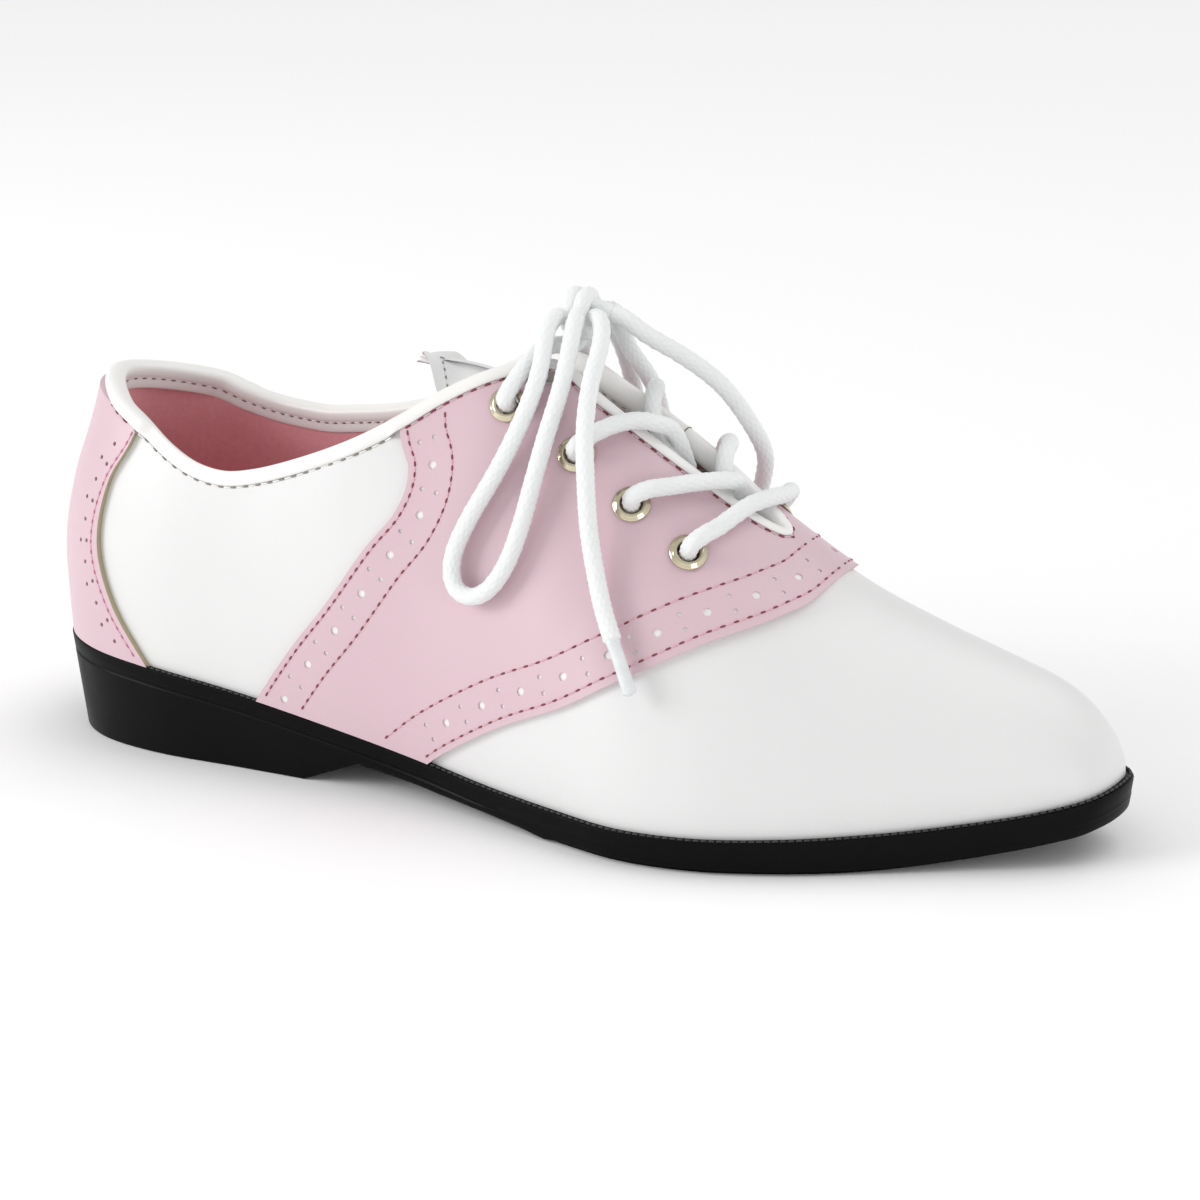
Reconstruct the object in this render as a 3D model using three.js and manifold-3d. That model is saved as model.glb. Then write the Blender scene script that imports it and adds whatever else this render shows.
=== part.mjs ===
// Saddle shoe for the right foot, in millimetres.
// X runs from the heel to the toe, Y from the outer side to the inner side, Z up from the floor.
import * as THREE from 'three';
import { ParametricGeometry } from 'three/addons/geometries/ParametricGeometry.js';
import { mergeVertices } from 'three/addons/utils/BufferGeometryUtils.js';
import Module from 'manifold-3d';

const wasm = await Module();
wasm.setup();

// Driving sizes
const LENGTH = 257.5; // sole, heel to toe
const BALL_WIDTH = 88; // sole at the ball
const HEEL_WIDTH = 62; // sole at the heel
const INSTEP_HEIGHT = 90; // top of the throat above the sole
const HEEL_HEIGHT = 25; // top of the sole at the back
const TOE_SPRING = 8.3;

// Walls and clearances
const GAP = 0.3; // between curved pieces that meet
const LEDGE = 1.8; // sole beyond the foot of the upper
const WALL = 2.2; // upper with its lining
const OVERLAY = 1.2; // saddle and heel strap
const INSOLE_THICKNESS = 3;
const INSOLE_CLEARANCE = 0.8;
const TONGUE_THICKNESS = 3;
const TONGUE_HALF_WIDTH = 19;
const BINDING_HALF_WIDTH = 1.75; // along the wall
const BINDING_HALF_DEPTH = 2.1; // through the wall
const BINDING_INSET = 0.5; // its centre line inside the outer face

// Sole
const PAD_STEP = 0.9;
const PAD_INSET = 1;
const SIDE_DRAFT = 0.09; // inward lean for each millimetre down
const RIM_BEVEL = 0.5;
const FLOOR_BEVEL = 0.6;
const GROOVE_DEPTH = 0.35;
const GROOVE_TOP = 3.6; // below the top of the sole
const GROOVE_WIDTH = 1;
const GROOVE_FADE_START = 0.45; // share of LENGTH
const GROOVE_FADE_END = 0.6;

// Eyelets and lace
const EYELET_BORE = 2.3;
const EYELET_BARREL = 2.7;
const EYELET_FLANGE = 4.2;
const EYELET_RISE = 1;
const EYELET_SIDES = 10;
const LACE_RADIUS = 2;
const LACE_SIDES = 8;
const LACE_STEP = 10;
const LACED_STEP = 5.5;
const AGLET_RADIUS = 1.5;
const KNOT_RADIUS = 6;
const KNOT_HALF_HEIGHT = 5;

// Numbers of facets
const LAST_STEPS = 30;
const SIDE_POINTS = 7;
const SOLE_STEPS = 32;
const INSOLE_STEPS = 36;
const SEAT_STEPS = 40;
const OPENING_STEPS = 22;
const PANEL_STEPS = 20;
const STRAP_STEPS = 16;
const BINDING_STEPS = 50;
const BINDING_SIDES = 8;
const TONGUE_STEPS = 10;
const TONGUE_SPANS = 6;
const KNOT_STEPS = 12;

// Reach of the cutting bodies past the shoe
const FAR = 90;
const HIGH = 2 * INSTEP_HEIGHT;
const SKIRT = 8;
const END_SPARE = 0.05; // share of LENGTH

const MERGE_DISTANCE = 1e-3;
const HALVINGS = 30; // of the search for a point of the last

// Rows of a short table as objects that carry the names of its columns
function table(columns, rows) {
  const names = columns.split(' ');
  return rows.map((row) => Object.fromEntries(names.map((name, i) => [name, row[i]])));
}

// Sections of the last. at is a share of LENGTH, height of INSTEP_HEIGHT above the sole, the hips are
// shares of the section's height, the shoulders of its half width, and the other columns of width.
const LAST = table(
  'at width outer inner ridge height outerBulge outerHip outerShoulder innerBulge innerHip innerShoulder',
  [
    [0.007, HEEL_WIDTH, -0.032, -0.032, 0.016, 1.039, 0, 0.45, 0.5, 0, 0.45, 0.5],
    [0.016, HEEL_WIDTH, -0.248, 0.184, 0.016, 1.042, 0, 0.45, 0.2, 0.024, 0.45, 0.62],
    [0.062, HEEL_WIDTH, -0.435, 0.371, 0.024, 1.051, 0.024, 0.45, 0.2, 0.048, 0.45, 0.66],
    [0.14, HEEL_WIDTH, -0.503, 0.439, 0.024, 1.069, 0.029, 0.45, 0.25, 0.044, 0.45, 0.68],
    [0.233, HEEL_WIDTH, -0.494, 0.41, 0.024, 1.093, 0.016, 0.45, 0.4, 0.032, 0.45, 0.68],
    [0.326, HEEL_WIDTH, -0.49, 0.361, 0.016, 1.104, 0.032, 0.42, 0.62, 0.065, 0.42, 0.62],
    [0.419, BALL_WIDTH, -0.352, 0.268, 0.023, 1.084, 0.034, 0.38, 0.52, 0.057, 0.38, 0.55],
    [0.485, BALL_WIDTH, -0.389, 0.32, 0.028, 1.023, 0.04, 0.36, 0.46, 0.057, 0.36, 0.5],
    [0.563, BALL_WIDTH, -0.443, 0.405, 0.034, 0.894, 0.04, 0.36, 0.46, 0.045, 0.36, 0.5],
    [0.625, BALL_WIDTH, -0.481, 0.459, 0.045, 0.769, 0.034, 0.36, 0.48, 0.034, 0.36, 0.5],
    [0.687, BALL_WIDTH, -0.468, 0.482, 0.057, 0.634, 0.034, 0.36, 0.5, 0.028, 0.36, 0.52],
    [0.753, BALL_WIDTH, -0.402, 0.473, 0.068, 0.506, 0.028, 0.36, 0.54, 0.023, 0.38, 0.54],
    [0.823, BALL_WIDTH, -0.295, 0.425, 0.08, 0.409, 0.023, 0.38, 0.58, 0.017, 0.4, 0.56],
    [0.885, BALL_WIDTH, -0.195, 0.357, 0.097, 0.328, 0.017, 0.4, 0.6, 0.011, 0.42, 0.58],
    [0.944, BALL_WIDTH, -0.102, 0.268, 0.108, 0.237, 0.011, 0.44, 0.6, 0.009, 0.44, 0.6],
    [0.977, BALL_WIDTH, -0.034, 0.2, 0.114, 0.13, 0.007, 0.46, 0.6, 0.006, 0.46, 0.6],
    [0.993, BALL_WIDTH, 0.114, 0.114, 0.114, 0, 0, 0.5, 0.6, 0, 0.5, 0.6],
  ],
);

// Top of the sole, as shares of LENGTH and HEEL_HEIGHT
const SEAT = table('at up', [
  [0, 0.98], [0.062, 0.936], [0.14, 0.872], [0.233, 0.744], [0.326, 0.584], [0.419, 0.416],
  [0.485, 0.336], [0.563, 0.3], [0.687, 0.3], [0.753, 0.316], [0.823, 0.348], [0.885, 0.412],
  [0.944, 0.512], [1, 0.66],
]);

// Back line of the heel, as shares of INSTEP_HEIGHT above the sole and of HEEL_WIDTH
const BACK = table('up shift', [
  [0, 0], [0.106, -0.01], [0.239, -0.023], [0.417, 0.024], [0.572, 0.105], [0.706, 0.153], [0.95, 0.258],
]);
const BACK_REACH = 0.179; // share of LENGTH over which the back line dies out

// Underside of the waist, as shares of LENGTH and HEEL_HEIGHT
const UNDERSIDE = table('at up', [
  [0, 0], [0.295, 0], [0.353, 0.252], [0.44, 0.132], [0.53, 0.052], [0.565, 0],
]);
const PAD_START = 0.545;
const PAD_FULL = 0.57;
const SPRING_START = 0.8;
const SPRING_POWER = 1.6;

// Centre of the binding round the collar, as shares of LENGTH and of INSTEP_HEIGHT above the sole
const TOPLINE = table('at outer inner', [
  [0.035, 0.683, 0.683], [0.078, 0.653, 0.63], [0.113, 0.617, 0.602], [0.148, 0.572, 0.588],
  [0.179, 0.544, 0.59], [0.21, 0.542, 0.601], [0.241, 0.568, 0.626], [0.291, 0.637, 0.674],
  [0.342, 0.722, 0.74], [0.381, 0.803, 0.809], [0.419, 0.889, 0.889], [0.458, 0.953, 0.953],
  [0.482, 0.952, 0.952], [0.514, 0.952, 0.952],
]);
const COLLAR_FRONT = 2; // rows at the end that only the opening needs

// Centre of the binding down the throat, as shares of LENGTH and BALL_WIDTH
const THROAT = table('at outer inner', [
  [0.5, -0.042, 0.099], [0.541, -0.047, 0.103], [0.59, -0.046, 0.102], [0.632, -0.034, 0.091],
  [0.666, -0.017, 0.075], [0.69, 0.008, 0.05],
]);
const THROAT_BASE = { at: 0.699, across: 0.029 };

// Edges of the pink pieces seen from the side, as shares of LENGTH and of INSTEP_HEIGHT above the sole
const SADDLE_REAR = table('at up', [
  [0.365, 1.3], [0.383, 0.827], [0.398, 0.702], [0.39, 0.601], [0.364, 0.492], [0.327, 0.322],
  [0.291, 0.177], [0.254, 0.01], [0.235, -0.1],
]);
const SADDLE_FRONT = table('at up', [
  [0.4, -0.1], [0.436, 0.022], [0.506, 0.169], [0.568, 0.26], [0.617, 0.342], [0.6765, 0.426],
  [0.726, 0.472], [0.749, 0.508], [0.76, 0.62],
]);
const STRAP_FRONT = table('at up', [
  [0.135, 0.8], [0.113, 0.586], [0.087, 0.45], [0.078, 0.293], [0.097, 0.148], [0.134, 0.01], [0.16, -0.1],
]);

// Centre line of the tongue, as shares of LENGTH and of INSTEP_HEIGHT above the sole
const TONGUE = table('at up', [
  [0.377, 0.89], [0.427, 0.912], [0.485, 0.89], [0.544, 0.81], [0.602, 0.703], [0.66, 0.61],
  [0.691, 0.594], [0.722, 0.54],
]);
const TONGUE_CENTRE = 2.5;

// Eyelets from the top down, as shares of LENGTH and of INSTEP_HEIGHT above the sole
const EYELETS = table('outerAt innerAt up', [
  [0.475, 0.483, 0.887], [0.541, 0.549, 0.796], [0.595, 0.605, 0.698], [0.647, 0.664, 0.6],
]);

const OUTER = -1;
const INNER = 1;

// Cubic through the knots, with slopes taken from their neighbours
function through(knots, values, at) {
  const last = knots.length - 2;
  const chord = (k) => (values[k + 1] - values[k]) / (knots[k + 1] - knots[k]);
  const slope = (k) => {
    if (k === 0) return chord(0);
    if (k > last) return chord(last);
    const before = knots[k] - knots[k - 1];
    const after = knots[k + 1] - knots[k];
    return (chord(k - 1) * after + chord(k) * before) / (before + after);
  };
  let i = 0;
  while (i < last && knots[i + 1] <= at) i += 1;
  const span = knots[i + 1] - knots[i];
  const u = THREE.MathUtils.clamp((at - knots[i]) / span, 0, 1);
  return values[i] * (1 + 2 * u) * (1 - u) ** 2 + values[i + 1] * u * u * (3 - 2 * u)
    + slope(i) * span * u * (1 - u) ** 2 - slope(i + 1) * span * u * u * (1 - u);
}

const column = (rows, name) => rows.map((row) => row[name]);
const along = (rows, name, x) => through(column(rows, 'at'), column(rows, name), x / LENGTH);

const HEEL_END = LAST[0].at * LENGTH;
const TOE_END = LAST[LAST.length - 1].at * LENGTH;

// t runs from 0 at the heel to 1 at the toe and rounds both ends
const stationX = (t) => HEEL_END + (TOE_END - HEEL_END) * (1 - Math.cos(Math.PI * t)) / 2;
const stationT = (x) => {
  const share = THREE.MathUtils.clamp((x - HEEL_END) / (TOE_END - HEEL_END), 0, 1);
  return Math.acos(1 - 2 * share) / Math.PI;
};
const LAST_KNOTS = LAST.map((row) => stationT(row.at * LENGTH));
const WIDTH_COLUMNS = ['outer', 'inner', 'ridge', 'outerBulge', 'innerBulge'];
const LAST_VALUES = Object.fromEntries(Object.keys(LAST[0]).map((name) => {
  const scale = (row) => (WIDTH_COLUMNS.includes(name) ? row.width : 1);
  return [name, LAST.map((row) => row[name] * scale(row))];
}));

function seat(x) {
  return along(SEAT, 'up', x) * HEEL_HEIGHT;
}

function bezier(a, b, c, d, w) {
  const rest = 1 - w;
  return a * rest ** 3 + 3 * b * w * rest ** 2 + 3 * c * w ** 2 * rest + d * w ** 3;
}

// Point of the last at station t, w from 0 at the sole to 1 on the ridge
function onLast(t, w, side) {
  const value = (name) => through(LAST_KNOTS, LAST_VALUES[name], t);
  const name = side === OUTER ? 'outer' : 'inner';
  const x = stationX(t);
  const foot = seat(x);
  const edge = value(name);
  const ridge = value('ridge');
  const height = value('height') * INSTEP_HEIGHT;
  const hip = edge + side * value(`${name}Bulge`);
  const shoulder = ridge + value(`${name}Shoulder`) * (edge - ridge);
  const y = bezier(edge, hip, shoulder, ridge, w);
  const up = bezier(0, value(`${name}Hip`) * height, height, height, w);
  const fade = THREE.MathUtils.clamp(1 - (x - HEEL_END) / (BACK_REACH * LENGTH), 0, 1) ** 2;
  const shift = through(column(BACK, 'up'), column(BACK, 'shift'), up / INSTEP_HEIGHT) * HEEL_WIDTH;
  return new THREE.Vector3(x + shift * fade, y, foot + up);
}

const NUDGE = 0.002;

function outward(t, w, side) {
  const tt = THREE.MathUtils.clamp(t, NUDGE, 1 - NUDGE);
  const ww = THREE.MathUtils.clamp(w, NUDGE, 1 - NUDGE);
  const forward = onLast(tt + NUDGE, ww, side).sub(onLast(tt - NUDGE, ww, side));
  const upward = onLast(tt, ww + NUDGE, side).sub(onLast(tt, ww - NUDGE, side));
  return forward.cross(upward).multiplyScalar(-side).normalize();
}

// Both sides share one normal where they meet, on the ridge and at both ends
function normalAt(t, w, side) {
  const shared = w === 1 || t === 0 || t === 1;
  const normal = outward(t, w, side);
  return shared ? normal.add(outward(t, w, -side)).normalize() : normal;
}

const lifted = (t, w, side, lift) => onLast(t, w, side).addScaledVector(normalAt(t, w, side), lift);

// Closed body through rings, each a function of t and of the number of a point in the ring
function ringBody(ring, count, stations) {
  const place = (u, v, target) => {
    const number = Math.round(v * count) % count;
    target.copy(ring(stations[Math.round(u * (stations.length - 1))], number));
  };
  return solid(new ParametricGeometry(place, stations.length - 1, count));
}

// Closed mesh to solid: merged corners, no flat triangles, faces outwards
function solid(geometry) {
  const bare = geometry.clone();
  bare.deleteAttribute('normal');
  bare.deleteAttribute('uv');
  const merged = mergeVertices(bare, MERGE_DISTANCE);
  const corner = merged.index.array;
  const position = merged.attributes.position;
  const kept = [];
  let volume = 0;
  const [a, b, c] = [new THREE.Vector3(), new THREE.Vector3(), new THREE.Vector3()];
  for (let i = 0; i < corner.length; i += 3) {
    const [p, q, r] = [corner[i], corner[i + 1], corner[i + 2]];
    if (p === q || q === r || r === p) continue;
    kept.push(p, q, r);
    a.fromBufferAttribute(position, p);
    b.fromBufferAttribute(position, q);
    c.fromBufferAttribute(position, r);
    volume += a.dot(b.cross(c));
  }
  if (volume < 0) kept.reverse();
  return new wasm.Manifold(new wasm.Mesh({
    numProp: 3, vertProperties: new Float32Array(position.array), triVerts: new Uint32Array(kept),
  }));
}

function geometryOf(body) {
  const mesh = body.getMesh();
  const geometry = new THREE.BufferGeometry();
  geometry.setAttribute('position', new THREE.Float32BufferAttribute(mesh.vertProperties, 3));
  geometry.setIndex(Array.from(mesh.triVerts));
  return geometry;
}

const evenly = (count) => Array.from({ length: count + 1 }, (_, i) => i / count);

// The last grown by lift, with a skirt that reaches below the sole's top
function grownLast(lift) {
  const ring = (t, number) => {
    const side = number <= SIDE_POINTS ? OUTER : INNER;
    const step = side === OUTER ? number : 2 * SIDE_POINTS + 1 - number;
    if (step === 0) {
      const foot = lifted(t, 0, side, lift);
      return foot.setZ(foot.z - SKIRT);
    }
    return lifted(t, (step - 1) / (SIDE_POINTS - 1), side, lift);
  };
  return ringBody(ring, 2 * SIDE_POINTS + 2, evenly(LAST_STEPS));
}

// Station and height above the sole to a point of the last
function widthShare(t, side, isBelow) {
  let [low, high] = [0, 1];
  for (let i = 0; i < HALVINGS; i += 1) {
    const middle = (low + high) / 2;
    if (isBelow(onLast(t, middle, side))) low = middle;
    else high = middle;
  }
  return (low + high) / 2;
}

function placeAtHeight(at, up, side) {
  const t = stationT(at * LENGTH);
  return { t, w: widthShare(t, side, (p) => p.z < seat(p.x) + up * INSTEP_HEIGHT), side };
}

function placeAcross(at, y) {
  const t = stationT(at * LENGTH);
  const side = y < onLast(t, 1, OUTER).y ? OUTER : INNER;
  return { t, w: widthShare(t, side, (p) => (y - p.y) * side < 0), side };
}

// A flat outline pushed through the shoe: drawn in X and Z and pushed along Y, or in X and Y and along Z
const sideways = new THREE.Matrix4().makeRotationX(Math.PI / 2);
function sidePrism(outline, fromY, toY) {
  const shape = new THREE.Shape(outline);
  const geometry = new THREE.ExtrudeGeometry(shape, { depth: toY - fromY, bevelEnabled: false });
  return solid(geometry.applyMatrix4(sideways).translate(0, toY, 0));
}
function upPrism(outline, fromZ, toZ) {
  const shape = new THREE.Shape(outline);
  const geometry = new THREE.ExtrudeGeometry(shape, { depth: toZ - fromZ, bevelEnabled: false });
  return solid(geometry.translate(0, 0, fromZ));
}

const seatCurve = (rows, up = 'up') => rows.map((row) => {
  const x = row.at * LENGTH;
  return new THREE.Vector2(x, seat(x) + row[up] * INSTEP_HEIGHT);
});
const smooth = (points, steps) => new THREE.SplineCurve(points).getPoints(steps);

// Everything up to a clearance above the sole's top
function belowSole() {
  const top = evenly(SEAT_STEPS).map((share) => {
    const x = THREE.MathUtils.lerp(-END_SPARE, 1 + END_SPARE, share) * LENGTH;
    return new THREE.Vector2(x, seat(x) + GAP);
  });
  const [first, final] = [top[0], top[top.length - 1]];
  return sidePrism([...top, new THREE.Vector2(final.x, -FAR), new THREE.Vector2(first.x, -FAR)], -FAR, FAR);
}

// The openings are cut a little wider than the centre of the binding, inside its groove
const OPENING_SPARE = BINDING_HALF_WIDTH / 2;

// Collar opening, cut from the side in two halves that differ in height
function collarCut(side) {
  const line = smooth(seatCurve(TOPLINE, side === OUTER ? 'outer' : 'inner'), OPENING_STEPS);
  line.forEach((corner) => corner.setY(corner.y - OPENING_SPARE));
  const rear = new THREE.Vector2(-FAR, line[0].y);
  const front = new THREE.Vector2(line[line.length - 1].x + BINDING_HALF_WIDTH * 4, HIGH);
  const outline = [rear, ...line, front, new THREE.Vector2(-FAR, HIGH)];
  const middle = THROAT_BASE.across * BALL_WIDTH;
  return side === OUTER ? sidePrism(outline, -FAR, middle + GAP) : sidePrism(outline, middle - GAP, FAR);
}

const throatPoint = (row, name) => new THREE.Vector2(row.at * LENGTH, row[name] * BALL_WIDTH);
function throatOutline() {
  const spare = (x, y) => new THREE.Vector2(x, y).multiplyScalar(OPENING_SPARE);
  const base = throatPoint(THROAT_BASE, 'across').add(spare(1, 0));
  const outer = THROAT.map((row) => throatPoint(row, 'outer').add(spare(0, OUTER)));
  const inner = THROAT.map((row) => throatPoint(row, 'inner').add(spare(0, INNER))).reverse();
  return smooth([...outer, base, ...inner], OPENING_STEPS);
}
function throatCut() {
  const outline = throatOutline();
  const start = TOPLINE.at(-1 - COLLAR_FRONT).at * LENGTH;
  const [first, final] = [outline[0], outline[outline.length - 1]];
  const closed = [new THREE.Vector2(start, first.y), ...outline, new THREE.Vector2(start, final.y)];
  return upPrism(closed, INSTEP_HEIGHT / 2, HIGH);
}

// Places on the last that the binding follows, once round the collar and the throat
function bindingPlaces() {
  const rows = TOPLINE.slice(1, -COLLAR_FRONT);
  const collar = (name, side) => rows.map((row) => placeAtHeight(row.at, row[name], side));
  const throat = (name) => THROAT.map((row) => placeAcross(row.at, row[name] * BALL_WIDTH));
  const back = placeAtHeight(HEEL_END / LENGTH, TOPLINE[0].outer, OUTER);
  const base = placeAcross(THROAT_BASE.at, THROAT_BASE.across * BALL_WIDTH);
  return [
    back, ...collar('outer', OUTER), ...throat('outer'), base,
    ...throat('inner').reverse(), ...collar('inner', INNER).reverse(),
  ];
}
function bindingBody(grow) {
  const places = bindingPlaces();
  const centres = places.map(({ t, w, side }) => lifted(t, w, side, -BINDING_INSET));
  const normals = places.map(({ t, w, side }) => normalAt(t, w, side));
  const path = new THREE.CatmullRomCurve3(centres, true, 'centripetal');
  const lean = new THREE.CatmullRomCurve3(normals, true);
  const ringPoint = (u, v, target) => {
    const parameter = u % 1;
    const normal = lean.getPoint(parameter).normalize();
    const across = path.getTangent(parameter).cross(normal).normalize();
    const angle = (v % 1) * 2 * Math.PI;
    target.copy(path.getPoint(parameter));
    target.addScaledVector(normal, (BINDING_HALF_DEPTH + grow) * Math.cos(angle));
    target.addScaledVector(across, (BINDING_HALF_WIDTH + grow) * Math.sin(angle));
  };
  return solid(new ParametricGeometry(ringPoint, BINDING_STEPS, BINDING_SIDES));
}

// Eyelets stand on the saddle, along its normal
const eyeletPlaces = (side) => EYELETS.map((row) => (
  placeAtHeight(side === OUTER ? row.outerAt : row.innerAt, row.up, side)
));
const UP = new THREE.Vector3(0, 1, 0);
function eyeletFrame({ t, w, side }) {
  const place = lifted(t, w, side, GAP + OVERLAY);
  const turn = new THREE.Quaternion().setFromUnitVectors(UP, normalAt(t, w, side));
  return new THREE.Matrix4().compose(place, turn, new THREE.Vector3(1, 1, 1));
}
function eyeletHole(place) {
  const radius = EYELET_BARREL + GAP;
  const depth = 4 * (WALL + OVERLAY);
  const hole = new THREE.CylinderGeometry(radius, radius, depth, EYELET_SIDES);
  return solid(hole.applyMatrix4(eyeletFrame(place)));
}
function eyeletGeometry() {
  const foot = -(OVERLAY + GAP + WALL + GAP);
  const profile = [
    [EYELET_BORE, foot], [EYELET_BARREL, foot], [EYELET_BARREL, GAP], [EYELET_FLANGE, GAP],
    [EYELET_FLANGE, GAP + EYELET_RISE / 3], [EYELET_BARREL, GAP + EYELET_RISE],
    [EYELET_BORE, GAP + EYELET_RISE / 2], [EYELET_BORE, foot],
  ].map(([radius, height]) => new THREE.Vector2(radius, height));
  return new THREE.LatheGeometry(profile, EYELET_SIDES);
}

// Tube of the lace's own section along points chosen by hand
function laceTube(points, radius = LACE_RADIUS, step = LACE_STEP) {
  const path = new THREE.CatmullRomCurve3(points, false, 'centripetal');
  const section = new THREE.Shape();
  section.absarc(0, 0, radius, 0, 2 * Math.PI);
  return solid(new THREE.ExtrudeGeometry(section, {
    curveSegments: LACE_SIDES / 2, steps: Math.ceil(path.getLength() / step), extrudePath: path,
  }));
}
const point = (x, y, z) => new THREE.Vector3(x, y, z);

// Start of a lace above its eyelet: just clear of the flange, then a little higher
const LACE_CLEAR = GAP + OVERLAY + GAP + EYELET_RISE + GAP;
const LACE_BEND = 2.4;
function fromEyelet(place, ...rest) {
  const { t, w, side } = place;
  return [lifted(t, w, side, LACE_CLEAR), lifted(t, w, side, LACE_CLEAR + LACE_BEND), ...rest];
}

// Solids of the shoe
const below = belowSole();
const openings = [collarCut(OUTER), collarCut(INNER), throatCut(), bindingBody(GAP)];
const holes = [...eyeletPlaces(OUTER), ...eyeletPlaces(INNER)].map(eyeletHole);
const cutAll = (body, cutters) => cutters.reduce((rest, cutter) => rest.subtract(cutter), body);

function upperBody() {
  return cutAll(grownLast(0), [grownLast(-WALL), below, ...openings, ...holes]);
}

const overlay = cutAll(grownLast(GAP + OVERLAY), [grownLast(GAP), below, ...openings]);

function saddleBody() {
  const outline = [SADDLE_REAR, SADDLE_FRONT].flatMap((rows) => smooth(seatCurve(rows), PANEL_STEPS));
  return cutAll(overlay.intersect(sidePrism(outline, -FAR, FAR)), holes);
}

function strapBody() {
  const front = smooth(seatCurve(STRAP_FRONT), STRAP_STEPS);
  const behind = [front[front.length - 1], front[0]].map((corner) => new THREE.Vector2(-FAR, corner.y));
  const outline = [...front, ...behind];
  return overlay.intersect(sidePrism(outline, -FAR, FAR));
}

// Foot of the last in plan, moved out by reach
function plan(t, side, reach) {
  const foot = onLast(t, 0, side);
  const tt = THREE.MathUtils.clamp(t, NUDGE, 1 - NUDGE);
  const ahead = (s) => onLast(tt + NUDGE, 0, s).sub(onLast(tt - NUDGE, 0, s));
  const normal = ahead(side).cross(point(0, 0, 1)).multiplyScalar(-side).setZ(0).normalize();
  if (t === 0 || t === 1) normal.set(t === 0 ? -1 : 1, 0, 0);
  return foot.addScaledVector(normal, reach);
}

const fadeBetween = (x, from, to) => THREE.MathUtils.smoothstep(x, from * LENGTH, to * LENGTH);

// Lowest face of the rim of the sole, and the pad under the forefoot
function rim(x) {
  const next = UNDERSIDE.findIndex((row) => row.at * LENGTH > x);
  const to = UNDERSIDE.at(next);
  const from = next < 0 ? to : UNDERSIDE[next - 1];
  const share = next < 0 ? 0 : (x / LENGTH - from.at) / (to.at - from.at);
  const waist = THREE.MathUtils.lerp(from.up, to.up, share) * HEEL_HEIGHT;
  return Math.max(waist, PAD_STEP * fadeBetween(x, PAD_START, PAD_FULL)) + spring(x);
}
function spring(x) {
  const share = THREE.MathUtils.clamp((x / LENGTH - SPRING_START) / (1 - SPRING_START), 0, 1);
  return TOE_SPRING * share ** SPRING_POWER;
}

function outsoleBody() {
  const levels = (x) => {
    const top = seat(x);
    const foot = rim(x);
    const pad = spring(x) + (foot - spring(x)) * (1 - fadeBetween(x, PAD_START, PAD_FULL));
    const lean = (z) => SIDE_DRAFT * (top - z);
    const groove = GROOVE_DEPTH * (1 - fadeBetween(x, GROOVE_FADE_START, GROOVE_FADE_END));
    const grooveZ = top - GROOVE_TOP;
    const edge = lean(foot) + FLOOR_BEVEL;
    return [
      [RIM_BEVEL, top], [0, top - RIM_BEVEL], [lean(grooveZ), grooveZ],
      [lean(grooveZ) + groove, grooveZ - GROOVE_WIDTH / 2], [lean(grooveZ), grooveZ - GROOVE_WIDTH],
      [lean(foot), foot + FLOOR_BEVEL], [edge, foot], [edge + PAD_INSET, foot], [edge + PAD_INSET, pad],
    ];
  };
  const count = levels(0).length;
  const ring = (t, number) => {
    const side = number < count ? OUTER : INNER;
    const level = number < count ? number : 2 * count - 1 - number;
    const [inset, z] = levels(onLast(t, 0, side).x)[level];
    return plan(t, side, LEDGE - inset).setZ(z);
  };
  const breast = UNDERSIDE.slice(1, 3).map((row) => row.at);
  const steps = [...breast, PAD_START, PAD_FULL].map((at) => stationT(at * LENGTH));
  const stations = [...evenly(SOLE_STEPS), ...steps].sort((a, b) => a - b);
  return ringBody(ring, 2 * count, stations);
}

function insoleBody() {
  const reach = -(WALL + INSOLE_CLEARANCE);
  const ring = (t, number) => {
    const side = number < 2 ? OUTER : INNER;
    const isTop = number === 1 || number === 2;
    const foot = plan(t, side, reach);
    return foot.setZ(seat(foot.x) + GAP + (isTop ? INSOLE_THICKNESS : 0));
  };
  return ringBody(ring, 4, evenly(INSOLE_STEPS));
}

// The tongue follows the inside of the upper at its sides and sinks between the facings
const TONGUE_LIFT = -(BINDING_INSET + BINDING_HALF_DEPTH + 2 * GAP);
function tongueBody() {
  const [first, final] = [TONGUE[0].at * LENGTH, TONGUE[TONGUE.length - 1].at * LENGTH];
  const ring = (share, number) => {
    const isTop = number <= TONGUE_SPANS;
    const step = isTop ? number : 2 * TONGUE_SPANS + 1 - number;
    const lean = (2 * step) / TONGUE_SPANS - 1;
    const x = THREE.MathUtils.lerp(first, final, share);
    const ridge = onLast(stationT(x), 1, OUTER).z + TONGUE_LIFT;
    const sink = Math.max(ridge - seat(x) - along(TONGUE, 'up', x) * INSTEP_HEIGHT, 0);
    const { t, w, side } = placeAcross(x / LENGTH, TONGUE_CENTRE + lean * TONGUE_HALF_WIDTH);
    return lifted(t, w, side, TONGUE_LIFT - sink * (1 - lean * lean) - (isTop ? 0 : TONGUE_THICKNESS));
  };
  return ringWall(ring, 2 * TONGUE_SPANS + 2, TONGUE_STEPS);
}

// Rings with a flat face at either end
function ringWall(ring, count, steps) {
  const middle = (share) => {
    const sum = evenly(count - 1).reduce((total, _, i) => total.add(ring(share, i)), point(0, 0, 0));
    return sum.divideScalar(count);
  };
  const place = (u, v, target) => {
    const row = Math.round(u * (steps + 2)) - 1;
    const share = THREE.MathUtils.clamp(row / steps, 0, 1);
    const isEnd = row < 0 || row > steps;
    target.copy(isEnd ? middle(share) : ring(share, Math.round(v * count) % count));
  };
  return solid(new ParametricGeometry(place, steps + 2, count));
}

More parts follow.
